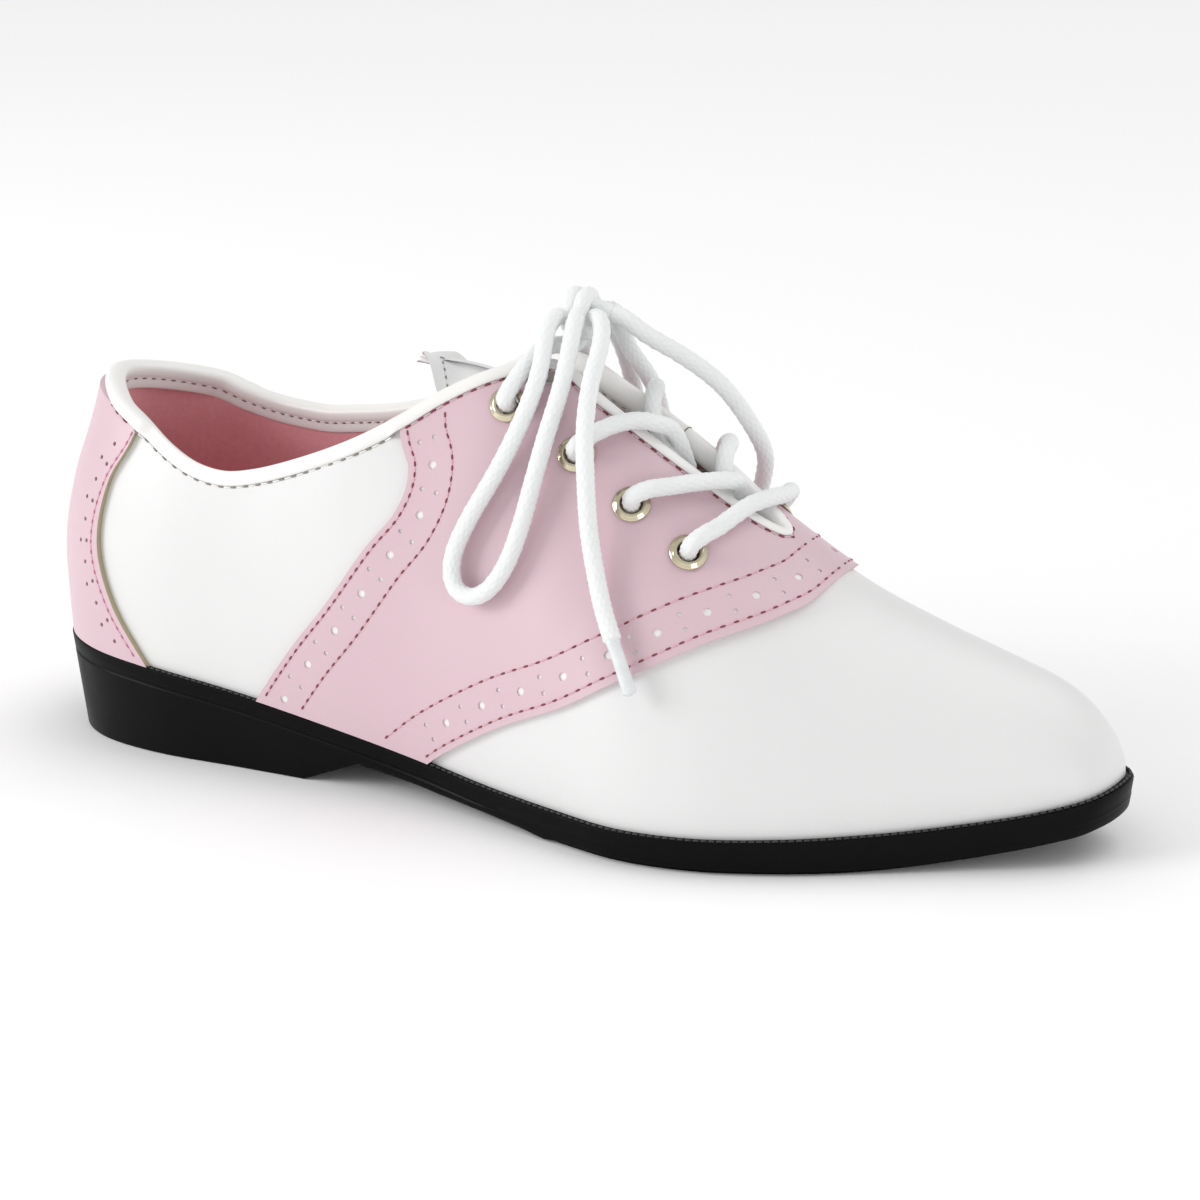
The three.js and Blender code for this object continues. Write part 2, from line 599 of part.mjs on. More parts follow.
// Routes of the lace, chosen by hand on the shoe at these sizes and carried along when the sizes change
const DRAWN = { length: 257.5, width: 88, instep: 90, heel: 25 };
function spot(x, y, z) {
  const at = x / DRAWN.length;
  const drawnSeat = through(column(SEAT, 'at'), column(SEAT, 'up'), at) * DRAWN.heel;
  const up = (z - drawnSeat) / DRAWN.instep;
  return point(at * LENGTH, (y / DRAWN.width) * BALL_WIDTH, seat(at * LENGTH) + up * INSTEP_HEIGHT);
}
const [outerEyelets, innerEyelets] = [eyeletPlaces(OUTER), eyeletPlaces(INNER)];
const lacedTube = (points) => laceTube(points, LACE_RADIUS, LACED_STEP);
const laceBetween = (row, ...middle) => lacedTube([
  ...fromEyelet(outerEyelets[row], ...middle), ...fromEyelet(innerEyelets[row]).reverse(),
]);
// Both strands of a row go over the binding, then down between the facings to where they meet
const crossing = (row, outerOver, innerOver, meet) => (
  lacedTube([...fromEyelet(outerEyelets[row], ...outerOver), meet])
    .add(lacedTube([...fromEyelet(innerEyelets[row], ...innerOver), meet]))
);
const laced = {
  lace_bar: laceBetween(
    3, spot(171, -18, 66.8), spot(172, -14.2, 67.2), spot(173.8, -9, 68.9), spot(175.4, -3.5, 70.1),
    spot(177, 3, 70.1), spot(177.2, 10.5, 68.9), spot(175.4, 19.4, 67.4),
  ),
  lace_crossing_3: crossing(
    2,
    [
      spot(157.6, -18.4, 75), spot(161.2, -13.6, 75), spot(164.2, -10.4, 75.2), spot(167.6, -7, 75.2),
      spot(170.2, -2.8, 74.6), spot(170.2, 0.8, 73.2),
    ],
    [
      spot(159, 20.4, 75.8), spot(161.4, 16.2, 77.8), spot(164.4, 10.4, 79.2), spot(165.6, 5, 78),
      spot(166.6, 2.9, 74.2),
    ],
    spot(169, 2.6, 69.8),
  ),
  lace_crossing_2: crossing(
    1,
    [
      spot(143, -16.8, 84.6), spot(147.1, -10.8, 86.6), spot(150.7, -7, 86.8), spot(153.8, -4.3, 85.8),
      spot(155.4, -0.8, 84), spot(156.3, 1.8, 80),
    ],
    [
      spot(143.4, 18.6, 84.8), spot(144.6, 14.6, 88.2), spot(146.6, 10.4, 90.4), spot(147.9, 6, 89),
      spot(149.7, 3.2, 85), spot(153.2, 2.6, 80.4),
    ],
    spot(156.8, 2.6, 76),
  ),
  lace_crossing_1: laceBetween(
    0, spot(127.5, -7, 100.6), spot(130.5, 2.5, 100), spot(128.5, 10.5, 100.6),
  ),
};

const KNOT = spot(132.5, 2.5, 107.5);
// A lace leaves the knot along its radius
const leaves = (degrees) => [KNOT_RADIUS + GAP, KNOT_RADIUS + GAP + LACE_RADIUS].map((reach) => {
  const angle = THREE.MathUtils.degToRad(degrees);
  return point(KNOT.x + reach * Math.cos(angle), KNOT.y + reach * Math.sin(angle), KNOT.z);
});
const loose = {
  lace_loop_outer: laceTube([
    ...leaves(-115), spot(129.5, -10, 104), spot(131.5, -13.5, 98), spot(128.5, -20, 86),
    spot(124.5, -24.6, 76.2), spot(120, -28.6, 66.8), spot(117, -31.5, 57.6), spot(119, -33.4, 51.5),
    spot(125, -33.8, 51.2), spot(130, -32.1, 57.3), spot(132.6, -28.9, 65.7), spot(134, -24.5, 75.9),
    spot(134.4, -20.5, 85.4), spot(136.2, -14.5, 93), spot(136, -10.5, 101), ...leaves(-75).reverse(),
  ]),
  lace_end_outer: laceTube([
    ...leaves(-35), spot(142, -7, 102.5), spot(141, -13.5, 96), spot(144.3, -21.5, 86.9),
    spot(146.9, -26, 77.4), spot(149, -29, 67.6), spot(151.8, -31.5, 59), spot(154.6, -34.2, 53),
    spot(158.5, -37.2, 46.7),
  ]).add(laceTube([
    spot(158.1, -36.9, 47.3), spot(161.4, -39.1, 42), spot(164.2, -41, 37.1),
  ], AGLET_RADIUS)),
  lace_loop_inner: laceTube([
    ...leaves(10), spot(145.5, 5, 103.5), spot(153, 10, 98), spot(160.5, 14.5, 91.2), spot(165, 20, 82),
    spot(166.5, 26, 73.5), spot(164, 31, 66.5), spot(160, 36, 58.5), spot(154.5, 38.8, 52),
    spot(147.5, 37.5, 52.5), spot(142.5, 33.5, 61), spot(140.5, 31, 71), spot(140, 28, 79.5),
    spot(139, 24.5, 88), spot(137.5, 17, 96), spot(137, 12.5, 102), ...leaves(52).reverse(),
  ]),
  lace_end_inner: laceTube([
    ...leaves(92), spot(132, 14.5, 104), spot(132.5, 21, 98), spot(133, 27, 87),
    spot(133.5, 30, 76), spot(134.5, 32.5, 66), spot(136.5, 36, 56),
  ]).add(laceTube([spot(136.3, 35.8, 56.6), spot(138, 38.4, 49.5), spot(139.4, 40, 45)], AGLET_RADIUS)),
};

// Materials
const finish = (color, roughness, metalness = 0) => (
  new THREE.MeshStandardMaterial({ color, roughness, metalness })
);
const whiteLeather = () => finish('#f4f4f3', 0.45);
const pinkLeather = () => finish('#efc9dc', 0.5);
const blackRubber = () => finish('#1b1b1c', 0.45);
const liningCloth = () => finish('#c08a94', 0.8);
const nickel = () => finish('#c9c4b4', 0.25, 1);
const whiteLace = () => finish('#f6f6f6', 0.8);

const shoe = new THREE.Group();
function addPiece(name, geometry, material) {
  const piece = new THREE.Mesh(geometry, material);
  piece.name = name;
  shoe.add(piece);
  return piece;
}

addPiece('outsole', geometryOf(outsoleBody()), blackRubber());
addPiece('insole', geometryOf(insoleBody()), liningCloth());
addPiece('upper', geometryOf(upperBody()), whiteLeather());
addPiece('saddle', geometryOf(saddleBody()), pinkLeather());
addPiece('heel_strap', geometryOf(strapBody()), pinkLeather());
addPiece('collar_binding', geometryOf(bindingBody(0)), whiteLeather());
addPiece('tongue', geometryOf(tongueBody()), whiteLeather());
[['outer', outerEyelets], ['inner', innerEyelets]].forEach(([name, places]) => {
  places.forEach((place, row) => {
    const eyelet = addPiece(`eyelet_${name}_${row + 1}`, geometryOf(solid(eyeletGeometry())), nickel());
    eyelet.applyMatrix4(eyeletFrame(place));
  });
});
Object.entries({ ...laced, ...loose }).forEach(([name, body]) => {
  addPiece(name, geometryOf(body), whiteLace());
});
const ball = new THREE.SphereGeometry(1, KNOT_STEPS, KNOT_STEPS / 2 + 2);
const knot = addPiece('lace_knot', ball, whiteLace());
knot.scale.set(KNOT_RADIUS, KNOT_RADIUS, KNOT_HALF_HEIGHT);
knot.position.copy(KNOT);

// The origin is on the floor under the middle of the shoe, measured without the loose lace
shoe.updateMatrixWorld(true);
const box = new THREE.Box3();
const fixed = shoe.children.filter((piece) => !(piece.name in loose) && piece !== knot);
fixed.forEach((piece) => box.expandByObject(piece, true));
const middle = box.getCenter(new THREE.Vector3());
shoe.position.set(-middle.x, -middle.y, -box.min.z);

export default shoe;
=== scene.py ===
"""Looks of the saddle shoe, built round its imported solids.

Sizes are in millimetres on the shoe, from the back of the heel, and become metres in the row frame.
X runs to the toe, Y from the outer side to the inner side, Z up from the floor.
"""

from __future__ import annotations

import logging
import math
from dataclasses import dataclass, field
from enum import Enum
from typing import Callable, Iterable, Sequence

import bmesh
import bpy
import numpy as np
from mathutils import Matrix, Vector

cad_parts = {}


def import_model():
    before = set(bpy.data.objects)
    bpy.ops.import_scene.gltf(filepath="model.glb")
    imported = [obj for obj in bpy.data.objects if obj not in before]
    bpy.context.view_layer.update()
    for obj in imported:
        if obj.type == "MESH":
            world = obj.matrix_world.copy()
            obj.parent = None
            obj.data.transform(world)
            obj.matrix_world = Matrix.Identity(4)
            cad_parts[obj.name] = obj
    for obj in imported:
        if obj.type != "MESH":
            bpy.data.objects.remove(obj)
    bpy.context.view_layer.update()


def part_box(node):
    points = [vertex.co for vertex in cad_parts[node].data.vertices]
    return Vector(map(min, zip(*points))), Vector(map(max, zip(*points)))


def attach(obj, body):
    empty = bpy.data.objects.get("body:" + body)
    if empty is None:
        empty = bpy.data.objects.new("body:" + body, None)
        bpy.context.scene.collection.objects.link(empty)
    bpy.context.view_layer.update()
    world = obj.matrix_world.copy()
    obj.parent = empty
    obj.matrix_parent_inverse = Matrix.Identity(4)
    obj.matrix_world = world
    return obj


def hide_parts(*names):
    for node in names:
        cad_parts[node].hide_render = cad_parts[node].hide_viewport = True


LOG = logging.getLogger("saddle_shoe")
MM = 0.001
Array = np.ndarray
Knots = Sequence[tuple[float, ...]]


# Helpers


def linear(hex_colour: str) -> tuple[float, float, float, float]:
    """Turns an sRGB hex value into linear red, green, blue and alpha.

    Args:
        hex_colour: the colour as six hex digits.

    Returns:
        The linear colour with an alpha of 1.
    """
    parts = [int(hex_colour[i:i + 2], 16) / 255 for i in (0, 2, 4)]
    red, green, blue = (p / 12.92 if p <= 0.04045 else ((p + 0.055) / 1.055) ** 2.4 for p in parts)
    return red, green, blue, 1.0


def through(knots: Sequence[float], values: Sequence[float], at: Array) -> Array:
    """Reads a smooth curve through knots, with slopes taken from their neighbours.

    Args:
        knots: rising places of the values.
        values: one value at each knot.
        at: places to read.

    Returns:
        The curve's values, held level past both ends.
    """
    k, v = np.asarray(knots, float), np.asarray(values, float)
    at = np.asarray(at, float)
    span = np.diff(k)
    chord = np.diff(v) / span
    slope = np.empty(len(k))
    slope[0], slope[-1] = chord[0], chord[-1]
    slope[1:-1] = (chord[:-1] * span[1:] + chord[1:] * span[:-1]) / (span[:-1] + span[1:])
    i = np.clip(np.searchsorted(k, at, side="right") - 1, 0, len(k) - 2)
    u = np.clip((at - k[i]) / span[i], 0, 1)
    rest = 1 - u
    start = v[i] * (1 + 2 * u) * rest**2 + slope[i] * span[i] * u * rest**2
    return start + v[i + 1] * u * u * (3 - 2 * u) - slope[i + 1] * span[i] * u * u * rest


def read(rows: Knots, column: int, at: Array) -> Array:
    """Reads one column of a table whose first column is the place."""
    return through([r[0] for r in rows], [r[column] for r in rows], at)


def ease(low: float, high: float, at: Array) -> Array:
    """Smooth step from 0 at low to 1 at high."""
    u = np.clip((np.asarray(at, float) - low) / (high - low), 0, 1)
    return u * u * (3 - 2 * u)


def unit(vectors: Array) -> Array:
    """Vectors of length 1 in the same directions."""
    return vectors / np.maximum(np.linalg.norm(vectors, axis=-1, keepdims=True), 1e-12)


def spaced(points: Array, step: float) -> Array:
    """Lays points evenly along a smooth curve through the given ones.

    Args:
        points: the curve's own points.
        step: distance wanted between neighbours.

    Returns:
        The evenly spaced points.
    """
    p = np.asarray(points, float)
    chord = np.concatenate([[0], np.cumsum(np.sqrt(np.linalg.norm(np.diff(p, axis=0), axis=1)))])
    fine = np.linspace(0, chord[-1], 40 * len(p))
    curve = np.stack([through(chord, p[:, a], fine) for a in range(3)], axis=1)
    run = np.concatenate([[0], np.cumsum(np.linalg.norm(np.diff(curve, axis=0), axis=1))])
    count = max(2, round(run[-1] / step) + 1)
    places = np.linspace(0, run[-1], count)
    return np.stack([np.interp(places, run, curve[:, a]) for a in range(3)], axis=1)


def eased(line: Array, reach: float, step: float) -> Array:
    """Takes the kinks out of an evenly spaced line and leaves its ends where they are."""
    half = max(1, round(3 * reach / step))
    weight = np.exp(-((np.arange(-half, half + 1) * step / reach) ** 2) / 2)
    before = 2 * line[0] - line[1:half + 1][::-1]
    after = 2 * line[-1] - line[-half - 1:-1][::-1]
    long = np.vstack([before, line, after])
    return np.stack([np.convolve(long[:, a], weight / weight.sum(), "valid") for a in range(3)], axis=1)


# Sizes of the shoe, the same as in the part's source


class Side(Enum):
    """Side of the shoe: outer is towards the camera, inner towards the other foot."""

    OUTER = -1
    INNER = 1


LENGTH = 257.5
BALL_WIDTH = 88.0
HEEL_WIDTH = 62.0
INSTEP = 90.0
HEEL = 25.0
GAP = 0.3
LEDGE = 1.8
WALL = 2.2
OVERLAY = 1.2
NUDGE = 0.002

# Sections of the last: place, width that the shares are of, outer and inner edge, ridge, height, and
# bulge, hip and shoulder of either side
SECTIONS: Knots = (
    (0.007, HEEL_WIDTH, -0.032, -0.032, 0.016, 1.039, 0, 0.45, 0.5, 0, 0.45, 0.5),
    (0.016, HEEL_WIDTH, -0.248, 0.184, 0.016, 1.042, 0, 0.45, 0.2, 0.024, 0.45, 0.62),
    (0.062, HEEL_WIDTH, -0.435, 0.371, 0.024, 1.051, 0.024, 0.45, 0.2, 0.048, 0.45, 0.66),
    (0.14, HEEL_WIDTH, -0.503, 0.439, 0.024, 1.069, 0.029, 0.45, 0.25, 0.044, 0.45, 0.68),
    (0.233, HEEL_WIDTH, -0.494, 0.41, 0.024, 1.093, 0.016, 0.45, 0.4, 0.032, 0.45, 0.68),
    (0.326, HEEL_WIDTH, -0.49, 0.361, 0.016, 1.104, 0.032, 0.42, 0.62, 0.065, 0.42, 0.62),
    (0.419, BALL_WIDTH, -0.352, 0.268, 0.023, 1.084, 0.034, 0.38, 0.52, 0.057, 0.38, 0.55),
    (0.485, BALL_WIDTH, -0.389, 0.32, 0.028, 1.023, 0.04, 0.36, 0.46, 0.057, 0.36, 0.5),
    (0.563, BALL_WIDTH, -0.443, 0.405, 0.034, 0.894, 0.04, 0.36, 0.46, 0.045, 0.36, 0.5),
    (0.625, BALL_WIDTH, -0.481, 0.459, 0.045, 0.769, 0.034, 0.36, 0.48, 0.034, 0.36, 0.5),
    (0.687, BALL_WIDTH, -0.468, 0.482, 0.057, 0.634, 0.034, 0.36, 0.5, 0.028, 0.36, 0.52),
    (0.753, BALL_WIDTH, -0.402, 0.473, 0.068, 0.506, 0.028, 0.36, 0.54, 0.023, 0.38, 0.54),
    (0.823, BALL_WIDTH, -0.295, 0.425, 0.08, 0.409, 0.023, 0.38, 0.58, 0.017, 0.4, 0.56),
    (0.885, BALL_WIDTH, -0.195, 0.357, 0.097, 0.328, 0.017, 0.4, 0.6, 0.011, 0.42, 0.58),
    (0.944, BALL_WIDTH, -0.102, 0.268, 0.108, 0.237, 0.011, 0.44, 0.6, 0.009, 0.44, 0.6),
    (0.977, BALL_WIDTH, -0.034, 0.2, 0.114, 0.13, 0.007, 0.46, 0.6, 0.006, 0.46, 0.6),
    (0.993, BALL_WIDTH, 0.114, 0.114, 0.114, 0, 0, 0.5, 0.6, 0, 0.5, 0.6),
)
SEAT: Knots = (
    (0, 0.98), (0.062, 0.936), (0.14, 0.872), (0.233, 0.744), (0.326, 0.584), (0.419, 0.416),
    (0.485, 0.336), (0.563, 0.3), (0.687, 0.3), (0.753, 0.316), (0.823, 0.348), (0.885, 0.412),
    (0.944, 0.512), (1, 0.66),
)
BACK: Knots = (
    (0, 0), (0.106, -0.01), (0.239, -0.023), (0.417, 0.024), (0.572, 0.105), (0.706, 0.153), (0.95, 0.258),
)
BACK_REACH = 0.179
UNDERSIDE: Knots = ((0, 0), (0.295, 0), (0.353, 0.252), (0.44, 0.132), (0.53, 0.052), (0.565, 0))
TOPLINE: Knots = (
    (0.035, 0.683, 0.683), (0.078, 0.653, 0.63), (0.113, 0.617, 0.602), (0.148, 0.572, 0.588),
    (0.179, 0.544, 0.59), (0.21, 0.542, 0.601), (0.241, 0.568, 0.626), (0.291, 0.637, 0.674),
    (0.342, 0.722, 0.74), (0.381, 0.803, 0.809), (0.419, 0.889, 0.889), (0.458, 0.953, 0.953),
    (0.482, 0.952, 0.952), (0.514, 0.952, 0.952),
)
THROAT: Knots = (
    (0.5, -0.042, 0.099), (0.541, -0.047, 0.103), (0.59, -0.046, 0.102), (0.632, -0.034, 0.091),
    (0.666, -0.017, 0.075), (0.69, 0.008, 0.05),
)
THROAT_BASE = (0.699, 0.029)
SADDLE_REAR: Knots = (
    (0.365, 1.3), (0.383, 0.827), (0.398, 0.702), (0.39, 0.601), (0.364, 0.492), (0.327, 0.322),
    (0.291, 0.177), (0.254, 0.01), (0.235, -0.1),
)
SADDLE_FRONT: Knots = (
    (0.4, -0.1), (0.436, 0.022), (0.506, 0.169), (0.568, 0.26), (0.617, 0.342), (0.6765, 0.426),
    (0.726, 0.472), (0.749, 0.508), (0.76, 0.62),
)
STRAP_FRONT: Knots = (
    (0.135, 0.8), (0.113, 0.586), (0.087, 0.45), (0.078, 0.293), (0.097, 0.148), (0.134, 0.01), (0.16, -0.1),
)
TONGUE_LINE: Knots = (
    (0.377, 0.89), (0.427, 0.912), (0.485, 0.89), (0.544, 0.81), (0.602, 0.703), (0.66, 0.61),
    (0.691, 0.594), (0.722, 0.54),
)
EYELETS: Knots = (
    (0.475, 0.483, 0.887), (0.541, 0.549, 0.796), (0.595, 0.605, 0.698), (0.647, 0.664, 0.6),
)


@dataclass(frozen=True)
class Fold:
    """A soft trough or ridge in the leather, between two points."""

    start: tuple[float, float, float]
    end: tuple[float, float, float]
    width: float
    depth: float

    def lift(self, points: Array) -> Array:
        """How far the fold moves points outwards; less than zero in a trough."""
        start, run = np.array(self.start), np.array(self.end) - np.array(self.start)
        share = np.clip(((points - start) @ run) / (run @ run), 0, 1)
        away = np.linalg.norm(points - start - share[..., None] * run, axis=-1)
        return self.depth * np.exp(-((away / self.width) ** 2)) * (0.35 + 0.65 * np.sin(np.pi * share))


FOLDS = (
    Fold((155.0, -26.0, 56.0), (161.0, -35.0, 39.0), 3.2, -0.42),
    Fold((160.0, -27.0, 52.0), (166.0, -34.0, 37.0), 2.8, 0.2),
    Fold((137.0, -19.0, 73.0), (154.0, -33.0, 44.0), 8.0, -0.5),
    Fold((158.0, -21.0, 62.0), (174.0, -22.0, 52.0), 4.0, -0.3),
    Fold((101.0, -24.0, 70.0), (90.0, -29.0, 45.0), 6.0, 0.22),
    Fold((158.0, 24.0, 58.0), (163.0, 34.0, 40.0), 3.4, -0.4),
    Fold((139.0, 20.0, 72.0), (154.0, 31.0, 46.0), 8.0, -0.45),
    Fold((203.0, -20.0, 36.0), (206.0, 8.0, 46.5), 5.0, -0.16),
    Fold((213.0, -18.0, 31.0), (216.0, 10.0, 42.0), 5.0, -0.12),
)


class Last:
    """The form that the shoe is made on. A place on it is t, from 0 at the heel to 1 at the toe, and g,
    from 0 at the sole on the outer side over 1 on the ridge to 2 at the sole on the inner side."""

    def __init__(self) -> None:
        """Spreads the sections along t."""
        self.heel = SECTIONS[0][0] * LENGTH
        self.toe = SECTIONS[-1][0] * LENGTH
        self.knots = self.station(np.array([s[0] * LENGTH for s in SECTIONS]))
        wide = (2, 3, 4, 6, 9)
        self.columns = {c: [s[c] * (s[1] if c in wide else 1) for s in SECTIONS] for c in range(2, 12)}

    def x_at(self, t: Array) -> Array:
        """Distance from the back of the heel at t."""
        return self.heel + (self.toe - self.heel) * (1 - np.cos(np.pi * np.asarray(t))) / 2

    def station(self, x: Array) -> Array:
        """Station t of a distance from the back of the heel."""
        share = np.clip((np.asarray(x, float) - self.heel) / (self.toe - self.heel), 0, 1)
        return np.arccos(1 - 2 * share) / np.pi

    @staticmethod
    def seat(x: Array) -> Array:
        """Height of the sole's top."""
        return read(SEAT, 1, np.asarray(x) / LENGTH) * HEEL

    def point(self, t: Array, g: Array) -> Array:
        """Points of the last.

        Args:
            t: stations.
            g: girth places.

        Returns:
            The points, with x, y and z in the last axis.
        """
        t, g = np.broadcast_arrays(np.asarray(t, float), np.asarray(g, float))
        outer = g <= 1
        w = np.where(outer, g, 2 - g)
        col = {c: through(self.knots, v, t) for c, v in self.columns.items()}
        side = np.where(outer, -1.0, 1.0)
        edge = np.where(outer, col[2], col[3])
        bulge = np.where(outer, col[6], col[9])
        hip = np.where(outer, col[7], col[10])
        shoulder = np.where(outer, col[8], col[11])
        ridge, height = col[4], col[5] * INSTEP
        x = self.x_at(t)
        r = 1 - w
        b = (r**3, 3 * w * r**2, 3 * w**2 * r, w**3)
        y = (
            b[0] * edge + b[1] * (edge + side * bulge)
            + b[2] * (ridge + shoulder * (edge - ridge)) + b[3] * ridge)
        up = (b[1] * hip + b[2] + b[3]) * height
        fade = np.clip(1 - (x - self.heel) / (BACK_REACH * LENGTH), 0, 1) ** 2
        shift = read(BACK, 1, up / INSTEP) * HEEL_WIDTH
        return np.stack([x + shift * fade, y, self.seat(x) + up], axis=-1)

    def _outward(self, t: Array, g: Array) -> Array:
        """Direction away from the foot, from small steps either way."""
        tt = np.clip(t, NUDGE, 1 - NUDGE)
        gg = np.clip(g, NUDGE, 2 - NUDGE)
        ahead = self.point(tt + NUDGE, gg) - self.point(tt - NUDGE, gg)
        round_ = self.point(tt, gg + NUDGE) - self.point(tt, gg - NUDGE)
        return unit(np.cross(ahead, round_))

    def normal(self, t: Array, g: Array) -> Array:
        """Direction away from the foot. Both sides share one where they meet."""
        t, g = np.broadcast_arrays(np.asarray(t, float), np.asarray(g, float))
        n = self._outward(t, g)
        ends = ((t <= 0) | (t >= 1))[..., None]
        return unit(np.where(ends, n + self._outward(t, 2 - g), n))

    def lifted(self, t: Array, g: Array, lift: Array | float) -> Array:
        """Points that stand off the last by lift."""
        base = self.point(t, g)
        high = np.asarray(lift, float) + sum(fold.lift(base) for fold in FOLDS)
        return base + self.normal(t, g) * high[..., None]

    def nearest(self, t: Array, g: Array, target: Array) -> tuple[Array, Array]:
        """Places whose points lie nearest to targets, from a first guess."""
        step = 1e-4
        t, g = np.clip(t, NUDGE, 1 - NUDGE), np.clip(g, 2 * step, 2 - 2 * step)
        for _ in range(6):
            ahead = (self.point(t + step, g) - self.point(t - step, g)) / (2 * step)
            round_ = (self.point(t, g + step) - self.point(t, g - step)) / (2 * step)
            miss = target - self.point(t, g)
            aa, bb, ab = ((u * v).sum(-1) for u, v in ((ahead, ahead), (round_, round_), (ahead, round_)))
            am, bm = (miss * ahead).sum(-1), (miss * round_).sum(-1)
            whole = aa * bb - ab * ab
            t = np.clip(t + np.clip((bb * am - ab * bm) / whole, -0.05, 0.05), NUDGE, 1 - NUDGE)
            g = np.clip(g + np.clip((aa * bm - ab * am) / whole, -0.2, 0.2), 2 * step, 2 - 2 * step)
        return t, g

    def girth(self, t: Array, side: Side, is_below: Callable[[Array], Array]) -> Array:
        """Finds places by halving.

        Args:
            t: stations.
            side: side of the shoe.
            is_below: tells for points whether they are nearer the sole than the wanted place.

        Returns:
            Girth places.
        """
        t = np.asarray(t, float)
        low, high = np.zeros_like(t), np.ones_like(t)
        for _ in range(26):
            middle = (low + high) / 2
            g = middle if side is Side.OUTER else 2 - middle
            below = is_below(self.point(t, g))
            low, high = np.where(below, middle, low), np.where(below, high, middle)
        w = (low + high) / 2
        return w if side is Side.OUTER else 2 - w

    def at_height(self, at: Array, up: Array, side: Side) -> tuple[Array, Array]:
        """Places at a share of the length and a share of the instep's height above the sole."""
        at, up = np.asarray(at, float), np.asarray(up, float)
        t = self.station(at * LENGTH)
        return t, self.girth(t, side, lambda p: p[..., 2] < self.seat(p[..., 0]) + up * INSTEP)

    def across(self, at: Array, y: Array) -> tuple[Array, Array]:
        """Places at a share of the length and a distance across."""
        at, y = np.asarray(at, float), np.asarray(y, float)
        t = self.station(at * LENGTH)
        outer = self.girth(t, Side.OUTER, lambda p: y > p[..., 1])
        inner = self.girth(t, Side.INNER, lambda p: y < p[..., 1])
        return t, np.where(y < self.point(t, np.ones_like(t))[..., 1], outer, inner)


LAST = Last()


class Row:
    """The row frame: turns millimetres on the shoe into metres."""

    shift = 0.0

    @classmethod
    def settle(cls) -> None:
        """Finds the shoe's place from the outsole solid."""
        cls.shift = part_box("outsole")[0].x - (LAST.heel - LEDGE) * MM

    @classmethod
    def place(cls, points: Array) -> Array:
        """Points of the shoe in the row frame."""
        return np.asarray(points, float) * MM + np.array([cls.shift, 0.0, 0.0])


# Meshes


def new_object(name: str, bm: bmesh.types.BMesh) -> bpy.types.Object:
    """Makes an object of a bmesh and frees it."""
    mesh = bpy.data.meshes.new(name)
    bm.to_mesh(mesh)
    bm.free()
    piece = bpy.data.objects.new(name, mesh)
    bpy.context.scene.collection.objects.link(piece)
    return piece


def surface(points: Array, close: bool = False) -> bmesh.types.BMesh:
    """A grid whose corners go to the given places.

    Args:
        points: rows and columns of points on the shoe.
        close: merges the seams and points the faces outwards.

    Returns:
        The bmesh, with a UV map over the grid.
    """
    rows, columns = points.shape[:2]
    bm = bmesh.new()
    bm.loops.layers.uv.new("UVMap")
    bmesh.ops.create_grid(bm, x_segments=columns - 1, y_segments=rows - 1, size=1, calc_uvs=True)
    placed = Row.place(points).reshape(-1, 3)
    for vert, co in zip(bm.verts, placed.tolist()):
        vert.co = co
    if close:
        bmesh.ops.remove_doubles(bm, verts=bm.verts, dist=1e-6)
        bmesh.ops.dissolve_degenerate(bm, edges=bm.edges, dist=1e-7)
        bmesh.ops.recalc_face_normals(bm, faces=bm.faces)
    return bm


def join(parts: Iterable[bmesh.types.BMesh]) -> bmesh.types.BMesh:
    """Puts several bmeshes into one and frees them."""
    whole = bmesh.new()
    for part in parts:
        mesh = bpy.data.meshes.new("part")
        part.to_mesh(mesh)
        part.free()
        whole.from_mesh(mesh)
        bpy.data.meshes.remove(mesh)
    return whole


def outline_prism(name: str, outline: Array, push: Array) -> bpy.types.Object:
    """A flat outline pushed along a direction, for cutting."""
    bm = bmesh.new()
    ring = bmesh.ops.create_circle(bm, cap_ends=True, segments=len(outline), radius=1)
    for vert, co in zip(ring["verts"], Row.place(outline).tolist()):
        vert.co = co
    pushed = bmesh.ops.extrude_face_region(bm, geom=list(bm.faces))
    moved = [v for v in pushed["geom"] if isinstance(v, bmesh.types.BMVert)]
    bmesh.ops.translate(bm, verts=moved, vec=Vector((np.asarray(push, float) * MM).tolist()))
    bmesh.ops.triangulate(bm, faces=[f for f in bm.faces if len(f.verts) > 4])
    bmesh.ops.recalc_face_normals(bm, faces=bm.faces)
    return new_object(name, bm)


class Cut(Enum):
    """What a cutting body does to a piece."""

    TAKE_OFF = "DIFFERENCE"
    KEEP = "INTERSECT"


def carve(piece: bpy.types.Object, tools: Sequence[tuple[bpy.types.Object, Cut]]) -> None:
    """Cuts a closed piece with closed bodies, for good. A body's material colours the edge that it cuts."""
    plain = [tool for tool, _ in tools if not tool.data.materials]
    for tool in plain:
        tool.data.materials.append(piece.data.materials[0])
    for tool, how in tools:
        cut = piece.modifiers.new("cut", "BOOLEAN")
        cut.operation = how.value
        cut.solver = "MANIFOLD"
        cut.material_mode = "TRANSFER"
        cut.object = tool
    bake_modifiers(piece)
    for tool in plain:
        tool.data.materials.clear()


def bake_modifiers(piece: bpy.types.Object) -> None:
    """Keeps what the modifiers make as the piece's own mesh."""
    depsgraph = bpy.context.evaluated_depsgraph_get()
    made = bpy.data.meshes.new_from_object(piece.evaluated_get(depsgraph))
    piece.modifiers.clear()
    old = piece.data
    piece.data = made
    bpy.data.meshes.remove(old)


def tidy(piece: bpy.types.Object, sharp_degrees: float = 35) -> None:
    """Smooth shading with sharp edges past an angle."""
    for face in piece.data.polygons:
        face.use_smooth = True
    piece.data.set_sharp_from_angle(angle=math.radians(sharp_degrees))


